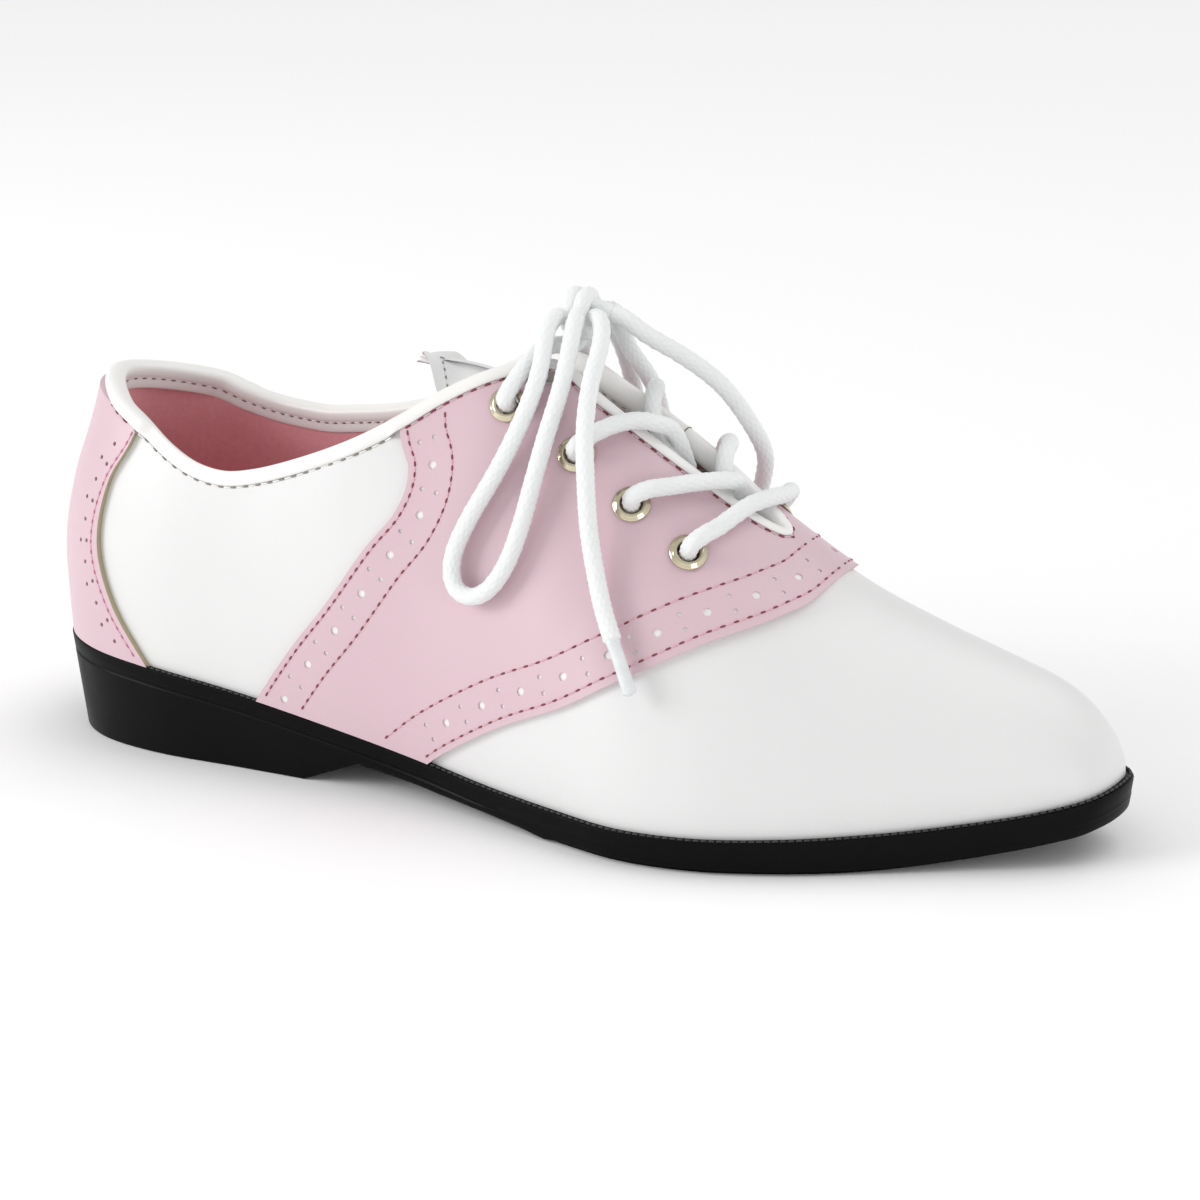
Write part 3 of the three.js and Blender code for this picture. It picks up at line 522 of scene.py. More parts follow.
def discard(*pieces: bpy.types.Object) -> None:
    """Removes cutting bodies."""
    for piece in pieces:
        bpy.data.objects.remove(piece)


def dress(
    piece: bpy.types.Object, material: bpy.types.Material, nodes: Sequence[str] = (),
) -> bpy.types.Object:
    """Gives a piece its material, its body and the solids that it stands for."""
    if not piece.data.materials:
        piece.data.materials.append(material)
    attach(piece, "root")
    if nodes:
        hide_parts(*nodes)
    LOG.info("%s: %d faces", piece.name, len(piece.data.polygons))
    return piece


def even_radius(radius: float) -> Callable[[Array, Array], Array]:
    """Section of a round thread."""

    def section(along: Array, turn: Array) -> Array:
        """The same radius everywhere."""
        return radius + 0 * along * turn

    return section


def sweep(centres: Array, section: Callable[[Array, Array], Array], sides: int) -> Array:
    """Frames along a line for a tube.

    Args:
        centres: points of the line, evenly spaced.
        section: gives for distances along and angles round the radius there.
        sides: facets round.

    Returns:
        Rings of points, the first and last drawn in to a point.
    """
    ahead = np.roll(centres, -1, 0) - np.roll(centres, 1, 0)
    ahead[0], ahead[-1] = centres[1] - centres[0], centres[-1] - centres[-2]
    ahead = unit(ahead)
    across = np.zeros_like(ahead)
    first = np.cross(ahead[0], [0.3, 0.1, 1.0])
    across[0] = first / np.linalg.norm(first)
    for i in range(1, len(ahead)):
        v = across[i - 1] - ahead[i] * np.dot(across[i - 1], ahead[i])
        across[i] = v / np.linalg.norm(v)
    other = np.cross(ahead, across)
    along = np.concatenate([[0], np.cumsum(np.linalg.norm(np.diff(centres, axis=0), axis=1))])
    angle = np.linspace(0, 2 * np.pi, sides + 1)
    radius = section(along[:, None], angle[None, :])[..., None]
    spokes = across[:, None] * np.cos(angle)[None, :, None] + other[:, None] * np.sin(angle)[None, :, None]
    rings = centres[:, None] + spokes * radius
    tips = [np.repeat(centres[i][None], sides + 1, 0)[None] for i in (0, -1)]
    return np.concatenate([tips[0], rings, tips[1]])


# Materials


def add_node(
    tree: bpy.types.NodeTree, kind: str, settings: dict[str, object] | None = None, **links: object,
) -> bpy.types.Node:
    """Adds a node with its settings, and fills its sockets.

    Args:
        tree: the material's node tree.
        kind: the node's type name.
        settings: properties of the node.
        **links: socket names, with underscores for spaces, to a value or to the socket that feeds it.

    Returns:
        The node.
    """
    node = tree.nodes.new(kind)
    for name, value in (settings or {}).items():
        setattr(node, name, value)
    for name, value in links.items():
        place = int(name[1:]) if name[0] == "i" and name[1:].isdigit() else name.replace("_", " ")
        socket = node.inputs[place]
        if isinstance(value, bpy.types.NodeSocket):
            tree.links.new(value, socket)
        else:
            socket.default_value = value
    return node


def new_material(name: str) -> tuple[bpy.types.Material, bpy.types.NodeTree]:
    """An empty material with its node tree."""
    material = bpy.data.materials.new(name)
    material.use_nodes = True
    material.node_tree.nodes.clear()
    return material, material.node_tree


def finish_surface(tree: bpy.types.NodeTree, shader: bpy.types.Node) -> None:
    """Sends a shader to the surface."""
    add_node(tree, "ShaderNodeOutputMaterial", Surface=shader.outputs[0])


def mm_scale(size: float) -> float:
    """Scale of a noise or Voronoi texture on Object coordinates whose cells are size millimetres."""
    return 1 / (size * MM)


@dataclass(frozen=True)
class CoatedLeather:
    """Smooth synthetic leather, a polyurethane skin on cloth: even colour, soft gloss, a hair-fine pore."""

    name: str
    colour: str
    deep_colour: str
    pore_mm: float = 0.55
    roughness: float = 0.42
    coat: float = 0.12

    def build(self) -> bpy.types.Material:
        """Makes the material."""
        material, tree = new_material(self.name)
        place = add_node(tree, "ShaderNodeTexCoord").outputs["Object"]
        cloud = add_node(
            tree, "ShaderNodeTexNoise", Vector=place, Scale=mm_scale(38), Detail=3.0, Roughness=0.5)
        tone = add_node(
            tree, "ShaderNodeMix", {"data_type": "RGBA"}, Factor=cloud.outputs["Fac"])
        tone.inputs["A"].default_value = linear(self.colour)
        tone.inputs["B"].default_value = linear(self.deep_colour)
        pore = add_node(tree, "ShaderNodeTexVoronoi", Vector=place, Scale=mm_scale(self.pore_mm))
        grain = add_node(
            tree, "ShaderNodeTexNoise", Vector=place, Scale=mm_scale(2.6), Detail=6.0, Roughness=0.62)
        fine = add_node(
            tree, "ShaderNodeBump", Strength=0.10, Distance=0.05 * MM, Height=pore.outputs["Distance"])
        bump = add_node(
            tree, "ShaderNodeBump", Strength=0.22, Distance=0.12 * MM, Height=grain.outputs["Fac"],
            Normal=fine.outputs["Normal"])
        gloss = add_node(
            tree, "ShaderNodeMapRange", Value=grain.outputs["Fac"], From_Min=0.3, From_Max=0.7,
            To_Min=self.roughness - 0.04, To_Max=self.roughness + 0.05)
        shader = add_node(
            tree, "ShaderNodeBsdfPrincipled", Base_Color=tone.outputs["Result"],
            Roughness=gloss.outputs["Result"], Normal=bump.outputs["Normal"], IOR=1.5,
            Coat_Weight=self.coat, Coat_Roughness=0.28)
        finish_surface(tree, shader)
        return material


@dataclass(frozen=True)
class MouldedRubber:
    """Injection-moulded sole, thermoplastic rubber: near black, satin, with a fine eroded texture."""

    name: str = "moulded_rubber_black"
    colour: str = "030304"
    dusty: str = "08080a"

    def build(self) -> bpy.types.Material:
        """Makes the material."""
        material, tree = new_material(self.name)
        place = add_node(tree, "ShaderNodeTexCoord").outputs["Object"]
        haze = add_node(
            tree, "ShaderNodeTexNoise", Vector=place, Scale=mm_scale(14), Detail=5.0, Roughness=0.6)
        tone = add_node(tree, "ShaderNodeMix", {"data_type": "RGBA"}, Factor=haze.outputs["Fac"])
        tone.inputs["A"].default_value = linear(self.colour)
        tone.inputs["B"].default_value = linear(self.dusty)
        grit = add_node(
            tree, "ShaderNodeTexNoise", Vector=place, Scale=mm_scale(0.7), Detail=3.0, Roughness=0.6)
        bump = add_node(
            tree, "ShaderNodeBump", Strength=0.25, Distance=0.08 * MM, Height=grit.outputs["Fac"])
        gloss = add_node(
            tree, "ShaderNodeMapRange", Value=haze.outputs["Fac"], From_Min=0.3, From_Max=0.7,
            To_Min=0.34, To_Max=0.46)
        shader = add_node(
            tree, "ShaderNodeBsdfPrincipled", Base_Color=tone.outputs["Result"],
            Roughness=gloss.outputs["Result"], Normal=bump.outputs["Normal"], IOR=1.52,
            Specular_IOR_Level=0.08)
        finish_surface(tree, shader)
        return material


@dataclass(frozen=True)
class SuededLining:
    """Brushed microfibre lining: matt, with a short nap that lightens at a glancing angle."""

    name: str
    colour: str
    worn: str
    sheen: float = 0.35

    def build(self) -> bpy.types.Material:
        """Makes the material."""
        material, tree = new_material(self.name)
        place = add_node(tree, "ShaderNodeTexCoord").outputs["Object"]
        nap = add_node(
            tree, "ShaderNodeTexNoise", Vector=place, Scale=mm_scale(1.1), Detail=6.0, Roughness=0.7)
        shade = add_node(
            tree, "ShaderNodeTexNoise", Vector=place, Scale=mm_scale(22), Detail=3.0, Roughness=0.55)
        both = add_node(
            tree, "ShaderNodeMath", {"operation": "ADD"}, i0=nap.outputs["Fac"], i1=shade.outputs["Fac"])
        half = add_node(
            tree, "ShaderNodeMapRange", Value=both.outputs[0], From_Min=0.7, From_Max=1.3,
            To_Min=0.0, To_Max=1.0)
        tone = add_node(tree, "ShaderNodeMix", {"data_type": "RGBA"}, Factor=half.outputs["Result"])
        tone.inputs["A"].default_value = linear(self.colour)
        tone.inputs["B"].default_value = linear(self.worn)
        bump = add_node(
            tree, "ShaderNodeBump", Strength=0.5, Distance=0.12 * MM, Height=nap.outputs["Fac"])
        shader = add_node(
            tree, "ShaderNodeBsdfPrincipled", Base_Color=tone.outputs["Result"], Roughness=0.85,
            Normal=bump.outputs["Normal"], Sheen_Weight=self.sheen, Sheen_Roughness=0.45)
        finish_surface(tree, shader)
        return material


@dataclass(frozen=True)
class PolishedNickel:
    """Nickel-plated steel, polished: bright, faintly warm, with hairline handling marks."""

    name: str = "nickel_plated_steel_polished"
    colour: str = "cfc6ac"

    def build(self) -> bpy.types.Material:
        """Makes the material."""
        material, tree = new_material(self.name)
        place = add_node(tree, "ShaderNodeTexCoord").outputs["Object"]
        marks = add_node(
            tree, "ShaderNodeTexNoise", Vector=place, Scale=mm_scale(0.9), Detail=4.0, Roughness=0.6)
        gloss = add_node(
            tree, "ShaderNodeMapRange", Value=marks.outputs["Fac"], From_Min=0.35, From_Max=0.65,
            To_Min=0.07, To_Max=0.15)
        bump = add_node(
            tree, "ShaderNodeBump", Strength=0.08, Distance=0.05 * MM, Height=marks.outputs["Fac"])
        shader = add_node(
            tree, "ShaderNodeBsdfPrincipled", Base_Color=linear(self.colour), Metallic=1.0,
            Roughness=gloss.outputs["Result"], Normal=bump.outputs["Normal"])
        finish_surface(tree, shader)
        return material


@dataclass(frozen=True)
class BraidedPolyester:
    """Round polyester braid: matt white filaments in small plaited lumps, darker in between."""

    name: str
    colour: str
    shade: str
    filament_mm: float = 0.3

    def build(self) -> bpy.types.Material:
        """Makes the material. The UV map runs round and along the lace."""
        material, tree = new_material(self.name)
        place = add_node(tree, "ShaderNodeTexCoord").outputs["Object"]
        fibre = add_node(
            tree, "ShaderNodeTexNoise", Vector=place, Scale=mm_scale(self.filament_mm), Detail=3.0,
            Roughness=0.6)
        tone = add_node(tree, "ShaderNodeMix", {"data_type": "RGBA"}, Factor=fibre.outputs["Fac"])
        tone.inputs["A"].default_value = linear(self.shade)
        tone.inputs["B"].default_value = linear(self.colour)
        bump = add_node(
            tree, "ShaderNodeBump", Strength=0.4, Distance=0.08 * MM, Height=fibre.outputs["Fac"])
        shader = add_node(
            tree, "ShaderNodeBsdfPrincipled", Base_Color=tone.outputs["Result"], Roughness=0.78,
            Normal=bump.outputs["Normal"], Sheen_Weight=0.25, Sheen_Roughness=0.5)
        finish_surface(tree, shader)
        return material


@dataclass(frozen=True)
class SewingThread:
    """Bonded nylon thread: slightly glossy, twisted."""

    name: str
    colour: str
    shade: str

    def build(self) -> bpy.types.Material:
        """Makes the material."""
        material, tree = new_material(self.name)
        place = add_node(tree, "ShaderNodeTexCoord").outputs["Object"]
        ply = add_node(
            tree, "ShaderNodeTexNoise", Vector=place, Scale=mm_scale(0.35), Detail=2.0, Roughness=0.5)
        tone = add_node(tree, "ShaderNodeMix", {"data_type": "RGBA"}, Factor=ply.outputs["Fac"])
        tone.inputs["A"].default_value = linear(self.shade)
        tone.inputs["B"].default_value = linear(self.colour)
        shader = add_node(
            tree, "ShaderNodeBsdfPrincipled", Base_Color=tone.outputs["Result"], Roughness=0.55)
        finish_surface(tree, shader)
        return material


@dataclass(frozen=True)
class AgletFilm:
    """Clear acetate film shrunk round the lace's end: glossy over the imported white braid."""

    name: str = "acetate_film_on_braid"
    colour: str = "e6e8e8"

    def build(self) -> bpy.types.Material:
        """Makes the material."""
        material, tree = new_material(self.name)
        place = add_node(tree, "ShaderNodeTexCoord").outputs["Object"]
        crease = add_node(
            tree, "ShaderNodeTexNoise", Vector=place, Scale=mm_scale(1.6), Detail=3.0, Roughness=0.5)
        tone = add_node(tree, "ShaderNodeMix", {"data_type": "RGBA"}, Factor=crease.outputs["Fac"])
        tone.inputs["A"].default_value = linear("cfd3d4")
        tone.inputs["B"].default_value = linear(self.colour)
        bump = add_node(
            tree, "ShaderNodeBump", Strength=0.3, Distance=0.1 * MM, Height=crease.outputs["Fac"])
        shader = add_node(
            tree, "ShaderNodeBsdfPrincipled", Base_Color=tone.outputs["Result"], Roughness=0.22,
            Normal=bump.outputs["Normal"], IOR=1.48, Coat_Weight=0.6, Coat_Roughness=0.1)
        finish_surface(tree, shader)
        return material


@dataclass(frozen=True)
class PaleFloor:
    """Matt white paper sweep."""

    name: str = "white_paper_sweep"
    colour: str = "fbfbfb"

    def build(self) -> bpy.types.Material:
        """Makes the material."""
        material, tree = new_material(self.name)
        place = add_node(tree, "ShaderNodeTexCoord").outputs["Object"]
        tooth = add_node(
            tree, "ShaderNodeTexNoise", Vector=place, Scale=mm_scale(1.2), Detail=3.0, Roughness=0.6)
        bump = add_node(
            tree, "ShaderNodeBump", Strength=0.08, Distance=0.05 * MM, Height=tooth.outputs["Fac"])
        shader = add_node(
            tree, "ShaderNodeBsdfPrincipled", Base_Color=linear(self.colour), Roughness=0.9,
            Normal=bump.outputs["Normal"])
        finish_surface(tree, shader)
        return material


@dataclass
class Finishes:
    """All the materials of the shoe."""

    white: bpy.types.Material = field(
        default_factory=lambda: CoatedLeather("coated_leather_white", "dfdfde", "dadada").build())
    # The binding's white is lighter than the upper's: painted light for its inner band, which the lamps
    # leave dim.
    binding: bpy.types.Material = field(
        default_factory=lambda: CoatedLeather(
            "coated_leather_white_folded", "ecebe9", "e5e4e1", roughness=0.4, coat=0.2).build())
    pink: bpy.types.Material = field(
        default_factory=lambda: CoatedLeather("coated_leather_pale_pink", "d1b6be", "cdb0b9").build())
    tan_edge: bpy.types.Material = field(
        default_factory=lambda: CoatedLeather(
            "coated_leather_raw_edge_tan", "b3a98a", "a2977a", roughness=0.75, coat=0.0).build())
    pale_edge: bpy.types.Material = field(
        default_factory=lambda: CoatedLeather(
            "coated_leather_raw_edge_pale", "e0c9cc", "d8bcc2", roughness=0.7, coat=0.0).build())
    rubber: bpy.types.Material = field(default_factory=lambda: MouldedRubber().build())
    lining: bpy.types.Material = field(
        default_factory=lambda: SuededLining("microfibre_lining_dusty_rose", "dd8f97", "e6a5ab").build())
    # The facing lining's copper colour is a tan lining darkened by painted shade, the shade inside the
    # throat.
    facing: bpy.types.Material = field(
        default_factory=lambda: SuededLining("microfibre_facing_painted_shade", "b4714f", "c78a66").build())
    nickel: bpy.types.Material = field(default_factory=lambda: PolishedNickel().build())
    lace: bpy.types.Material = field(
        default_factory=lambda: BraidedPolyester("braided_polyester_white", "f0f1f0", "dcdfe0").build())
    film: bpy.types.Material = field(default_factory=lambda: AgletFilm().build())
    dark_rose: bpy.types.Material = field(
        default_factory=lambda: SewingThread("bonded_thread_dark_rose", "8f3b45", "6e2730").build())
    faint_rose: bpy.types.Material = field(
        default_factory=lambda: SewingThread("bonded_thread_rose", "c97f92", "b0647a").build())
    pink_thread: bpy.types.Material = field(
        default_factory=lambda: SewingThread("bonded_thread_pink", "dcb0bd", "cd9dab").build())
    grey_thread: bpy.types.Material = field(
        default_factory=lambda: SewingThread("bonded_thread_grey", "9a958a", "79746a").build())
    umber_thread: bpy.types.Material = field(
        default_factory=lambda: SewingThread("bonded_thread_umber", "8f7f70", "64564a").build())
    # The moulded ticks are the sole's own rubber; their lighter grey is a painted highlight.
    tick_painted_highlight: bpy.types.Material = field(
        default_factory=lambda: SewingThread("moulded_ticks_painted_highlight", "3a3a3c", "1c1c1e").build())


# Camera and studio


@dataclass(frozen=True)
class Viewpoint:
    """Where the photograph was taken from, found from the shoe's own size."""

    azimuth: float = 26.02
    elevation: float = 17.67
    roll: float = -0.48
    centre: tuple[float, float, float] = (369.9, -476.4, 211.4)
    lens: float = 74.16

    def build(self) -> bpy.types.Object:
        """Makes the camera and looks through it."""
        a, e, r = (math.radians(v) for v in (self.azimuth, self.elevation, self.roll))
        back = Vector((math.sin(a) * math.cos(e), -math.cos(a) * math.cos(e), math.sin(e)))
        right = Vector((math.cos(a), math.sin(a), 0))
        up = back.cross(right)
        turned = math.cos(r) * right + math.sin(r) * up
        upright = -math.sin(r) * right + math.cos(r) * up
        data = bpy.data.cameras.new("photo_camera")
        data.lens = self.lens
        data.sensor_width = 36
        data.clip_start, data.clip_end = 0.01, 50
        camera = bpy.data.objects.new("photo_camera", data)
        bpy.context.scene.collection.objects.link(camera)
        place = Matrix((turned, upright, back)).transposed().to_4x4()
        place.translation = Vector(Row.place(np.array(self.centre)).tolist())
        camera.matrix_world = place
        bpy.context.scene.camera = camera
        return camera


@dataclass(frozen=True)
class SoftBox:
    """A large square lamp that looks at the shoe."""

    name: str
    place: tuple[float, float, float]
    size: float
    watts: float

    def build(self) -> None:
        """Makes the lamp."""
        data = bpy.data.lights.new(self.name, "AREA")
        data.shape = "SQUARE"
        data.size = self.size
        data.energy = self.watts
        lamp = bpy.data.objects.new(self.name, data)
        bpy.context.scene.collection.objects.link(lamp)
        lamp.location = self.place
        aim = Vector((0, 0, 0.03)) - Vector(self.place)
        lamp.rotation_euler = aim.to_track_quat("-Z", "Y").to_euler()


@dataclass(frozen=True)
class Studio:
    """Plain white studio: paper floor, soft boxes and an even surround."""

    floor_radius: float = 60.0
    low_sky: float = 1.0
    high_sky: float = 0.7
    sun_from: tuple[float, float, float] = (0.45, 0.45, 1.0)
    sun_strength: float = 0.65
    sun_degrees: float = 50.0
    boxes: tuple[SoftBox, ...] = (
        SoftBox("key_box", (-1.2, -1.0, 0.75), 0.8, 13.0),
        SoftBox("toe_box", (1.5, -0.9, 0.15), 0.6, 3.5),
    )

    def build(self) -> None:
        """Makes floor, lamps and surround."""
        bm = bmesh.new()
        bmesh.ops.create_circle(bm, cap_ends=True, segments=64, radius=self.floor_radius)
        floor = new_object("paper_floor", bm)
        floor.data.materials.append(PaleFloor().build())
        for box in self.boxes:
            box.build()
        sun = bpy.data.lights.new("overhead_sun", "SUN")
        sun.energy = self.sun_strength
        sun.angle = math.radians(self.sun_degrees)
        lamp = bpy.data.objects.new("overhead_sun", sun)
        bpy.context.scene.collection.objects.link(lamp)
        lamp.rotation_euler = Vector(self.sun_from).to_track_quat("Z", "Y").to_euler()
        world = bpy.data.worlds.new("studio_surround")
        bpy.context.scene.world = world
        world.use_nodes = True
        tree = world.node_tree
        tree.nodes.clear()
        place = add_node(tree, "ShaderNodeTexCoord").outputs["Generated"]
        height = add_node(tree, "ShaderNodeSeparateXYZ", Vector=place).outputs["Z"]
        shade = add_node(
            tree, "ShaderNodeMapRange", {"interpolation_type": "SMOOTHSTEP"}, Value=height, From_Min=0.1,
            From_Max=0.5, To_Min=self.low_sky, To_Max=self.high_sky)
        sky = add_node(
            tree, "ShaderNodeBackground", Color=(1, 1, 1, 1), Strength=shade.outputs["Result"])
        add_node(tree, "ShaderNodeOutputWorld", Surface=sky.outputs[0])
        scene = bpy.context.scene
        scene.view_settings.view_transform = "Standard"
        scene.view_settings.look = "None"


# The lace


def on_eyelet(row: int, side: Side, lift: float) -> Array:
    """Point over the middle of an eyelet, lift above the last."""
    at = EYELETS[row][1 if side is Side.INNER else 0]
    t, g = LAST.at_height(np.array([at]), np.array([EYELETS[row][2]]), side)
    return LAST.lifted(t, g, lift)[0]


LACE_CLEAR = GAP + OVERLAY + GAP + 1.0 + GAP
LACE_BEND = 2.4


@dataclass
class Lace:
    """One round white lace: laced rows, knot, two loops and two ends with film tips."""

    finishes: Finishes
    radius: float = 2.0
    tip_radius: float = 1.5
    strands: int = 10
    twist_mm: float = 1.5
    relief: float = 0.2
    step: float = 0.33
    sides: int = 40
    ease_free: float = 2.6
    ease_laced: float = 0.9
    knot: tuple[float, float, float] = (132.5, 2.5, 107.5)
    knot_reach: float = 6.3

    def braid(self, radius: float, ends: float) -> Callable[[Array, Array], Array]:
        """Radius of the braid: plaited lumps in two turning directions, drawn in at both ends."""

        def at(along: Array, angle: Array) -> Array:
            """Radius at a distance along and an angle round."""
            run = along * np.pi / self.twist_mm
            turn = angle * self.strands / 2
            lump = np.cos(turn + run / 2) * np.cos(turn - run / 2)
            total = along.max()
            rest = np.minimum(along, total - along)
            cap = np.sqrt(np.clip(1 - (1 - np.clip(rest / ends, 0, 1)) ** 2, 0.02, 1))
            return (radius - self.relief * (1 - np.abs(lump))) * cap + 0 * angle

        return at

    def line(self, route: Sequence[Sequence[float]], reach: float) -> Array:
        """The middle of a lace along given points."""
        points = np.array([np.asarray(p, float) for p in route])
        return eased(spaced(points, self.step), reach, self.step)

    def tube(self, line: Array, radius: float | None = None) -> bmesh.types.BMesh:
        """A braided tube round a line."""
        rings = sweep(line, self.braid(radius or self.radius, 0.8), self.sides)
        return surface(rings, close=True)

    def leaves(self, degrees: float) -> list[tuple[float, float, float]]:
        """Two points on the way out of the knot."""
        a = math.radians(degrees)
        reach = (self.knot_reach, self.knot_reach + self.radius)
        x, y, z = self.knot
        return [(x + r * math.cos(a), y + r * math.sin(a), z) for r in reach]

    def routes(self) -> dict[str, list[tuple[float, float, float]]]:
        """The free parts' routes, the same points as in the part's source."""
        out = self.leaves
        return {
            "lace_loop_outer": [
                *out(-115), (129.6, -10, 104), (130.4, -14, 97.6), (128.3, -20, 86.4), (124.5, -24.6, 76.2),
                (120, -28.6, 66.8), (117, -31.5, 57.6), (119, -33.4, 51.5), (125, -33.8, 51.2),
                (130, -32.1, 57.3), (132.4, -28.9, 65.7), (133.8, -24.7, 75.9), (134.8, -20, 85.4),
                (135.6, -15, 93.6), (135.5, -10.2, 101.4), *out(-75)[::-1],
            ],
            "lace_end_outer": [
                *out(-35), (141.4, -6.6, 103), (142.2, -13.6, 96), (144.4, -21.2, 87), (146.9, -26, 77.4),
                (149, -29, 67.6), (151.8, -31.5, 59), (154.6, -34.2, 53), (158.5, -37.2, 46.7),
            ],
            "lace_loop_inner": [
                *out(10), (145.5, 5, 103.5), (153, 10, 98), (160.5, 14.5, 91.2), (165, 20, 82),
                (166.5, 26, 73.5), (164, 31, 66.5), (160, 36, 58.5), (154.5, 38.8, 52),
                (147.5, 37.5, 52.5), (142.5, 33.5, 61), (140.5, 31, 71), (140, 28, 79.5),
                (139, 24.5, 88), (137.5, 17, 96), (137, 12.5, 102), *out(52)[::-1],
            ],
            "lace_end_inner": [
                *out(92), (132, 14.5, 104), (132.5, 21, 98), (133, 27, 87), (133.5, 30, 76),
                (134.5, 32.5, 66), (136.5, 36, 56),
            ],
        }

    def tips(self) -> dict[str, list[tuple[float, float, float]]]:
        """The film tips' routes."""
        return {
            "lace_end_outer": [(158.1, -36.9, 47.3), (161.4, -39.1, 42), (164.2, -41, 37.1)],
            "lace_end_inner": [(136.3, 35.8, 56.6), (138, 38.4, 49.5), (139.4, 40, 45)],
        }

    def build_free(self) -> None:
        knot = self.build_knot()
        for node, route in self.routes().items():
            line = self.line(route, self.ease_free)
            piece = new_object(node.replace("lace_", "braid_"), self.tube(line))
            tidy(piece, 180)
            dress(piece, self.finishes.lace, [node])
            if node in self.tips():
                self.build_tip(node)
            Row.place(line[0]).tolist()
            Row.place(np.vstack([line[:-1:4], line[-1:]])).tolist()

    def build_tip(self, node: str) -> bpy.types.Object:
        """Makes the film tip of one end."""
        centres = spaced(np.asarray(self.tips()[node], float), 0.4)

        def pressed(along: Array, angle: Array) -> Array:
            """Radius of the tip: a lip at the start, slightly flattened by the press, rounded off."""
            total = along.max()
            rest = np.clip((total - along) / 0.7, 0, 1)
            lip = 0.12 * np.exp(-((along - 0.6) / 0.5) ** 2)
            flat = 0.06 * np.cos(2 * angle)
            return (self.tip_radius + lip + flat) * np.sqrt(np.clip(1 - (1 - rest) ** 2, 0.1, 1))

        name = node.replace("lace_", "film_tip_")
        piece = new_object(name, surface(sweep(centres, pressed, 24), close=True))
        tidy(piece)
        return dress(piece, self.finishes.film)

    def build_knot(self) -> bpy.types.Object:
        """Makes the knot: a wrap over the bundle of loops and ends, which all run out of it."""
        x, y, z = self.knot
        turn = np.linspace(0.35 * math.pi, 3.6 * math.pi, 26)
        share = np.linspace(0, 1, len(turn))
        wrap = np.stack([
            x - 2.4 + 4.6 * share + 0.5 * np.sin(turn), y + 4.3 * np.cos(turn), z - 0.4 + 4.0 * np.sin(turn),
        ], axis=1)
        parts = [self.tube(self.line(wrap, 0.8))]
        for degrees, height in ((-115, -1.0), (-75, 0.8), (-35, -1.2), (10, 1.0), (52, -0.5), (92, 0.6)):
            a, back = math.radians(degrees), math.radians(degrees + 150)
            strand = [
                (x + 7.2 * math.cos(a), y + 7.2 * math.sin(a), z),
                (x + 5.0 * math.cos(a), y + 5.0 * math.sin(a), z + height * 0.4),
                (x + 2.4 * math.cos(a), y + 2.4 * math.sin(a), z + height * 1.4),
                (x, y, z + height * 1.6),
                (x + 2.0 * math.cos(back), y + 2.0 * math.sin(back), z + height),
            ]
            parts.append(self.tube(self.line(strand, 0.8), self.radius * 0.96))
        piece = new_object("braid_knot", join(parts))
        tidy(piece, 180)
        return dress(piece, self.finishes.lace, ["lace_knot"])

    def build_laced(self) -> None:
        """Makes the laced rows, each run down through its eyelets, over the binding and into the throat."""
        self.laced_piece("lace_bar", [self.row(3, [
            (171, -18, 66.8), (172, -14.2, 67.2), (173.8, -9, 68.9), (175.4, -3.5, 70.1),
            (177, 3, 70.1), (177.2, 10.5, 68.9), (175.4, 19.4, 67.4),
        ])])
        self.laced_piece("lace_crossing_3", [
            [
                *self.through_eyelet(2, Side.OUTER), (157.6, -18.4, 75), (161.2, -13.6, 75),
                (164.2, -10.4, 75.2), (167.6, -7, 75.2), (170.2, -2.8, 74.6), (170.2, 0.8, 73.2),
                (169.2, 3.2, 69.4), (167.5, 4.5, 66.2),
            ],
            [
                *self.through_eyelet(2, Side.INNER), (159, 20.4, 75.8), (161.4, 16.2, 77.8),
                (164.4, 10.4, 79.2), (165.6, 5, 78), (166.3, 2.5, 74.2), (167.5, 0.8, 70.4),
                (169, -0.6, 67.4),
            ],
        ])
        self.laced_piece("lace_crossing_2", [
            [
                *self.through_eyelet(1, Side.OUTER), (143, -16.8, 84.6), (147.1, -10.8, 86.6),
                (150.7, -7, 86.8), (153.8, -4.3, 85.8), (155.4, -0.8, 84), (156.3, 1.8, 80),
                (156.8, 3.6, 76), (157.2, 4.6, 73.4),
            ],
            [
                *self.through_eyelet(1, Side.INNER), (143.4, 18.6, 84.8), (144.6, 14.6, 88.2),
                (146.6, 10.4, 90.4), (147.9, 6, 89), (149.5, 2.6, 85), (152.8, 1.2, 80), (155.6, 0, 76),
            ],
        ])
        top = [(127.5, -7, 100.6), (130.5, 2.5, 100), (128.5, 10.5, 100.6)]
        self.laced_piece("lace_crossing_1", [self.row(0, top)])

    def through_eyelet(self, row: int, side: Side) -> list[Array]:
        """Points up through an eyelet, from inside the upper."""
        return [on_eyelet(row, side, lift) for lift in (-5.5, -1.0, LACE_CLEAR, LACE_CLEAR + LACE_BEND)]

    def row(self, row: int, middle: list[tuple[float, float, float]]) -> list[object]:
        """A strand from one eyelet to its partner."""
        return [
            *self.through_eyelet(row, Side.OUTER), *middle, *self.through_eyelet(row, Side.INNER)[::-1],
        ]

    def laced_piece(self, node: str, strands: list[list[object]]) -> None:
        """One laced solid, dressed."""
        parts = [self.tube(self.line(strand, self.ease_laced)) for strand in strands]
        piece = new_object(node.replace("lace_", "braid_"), join(parts))
        tidy(piece, 180)
        dress(piece, self.finishes.lace, [node])


# Leather pieces


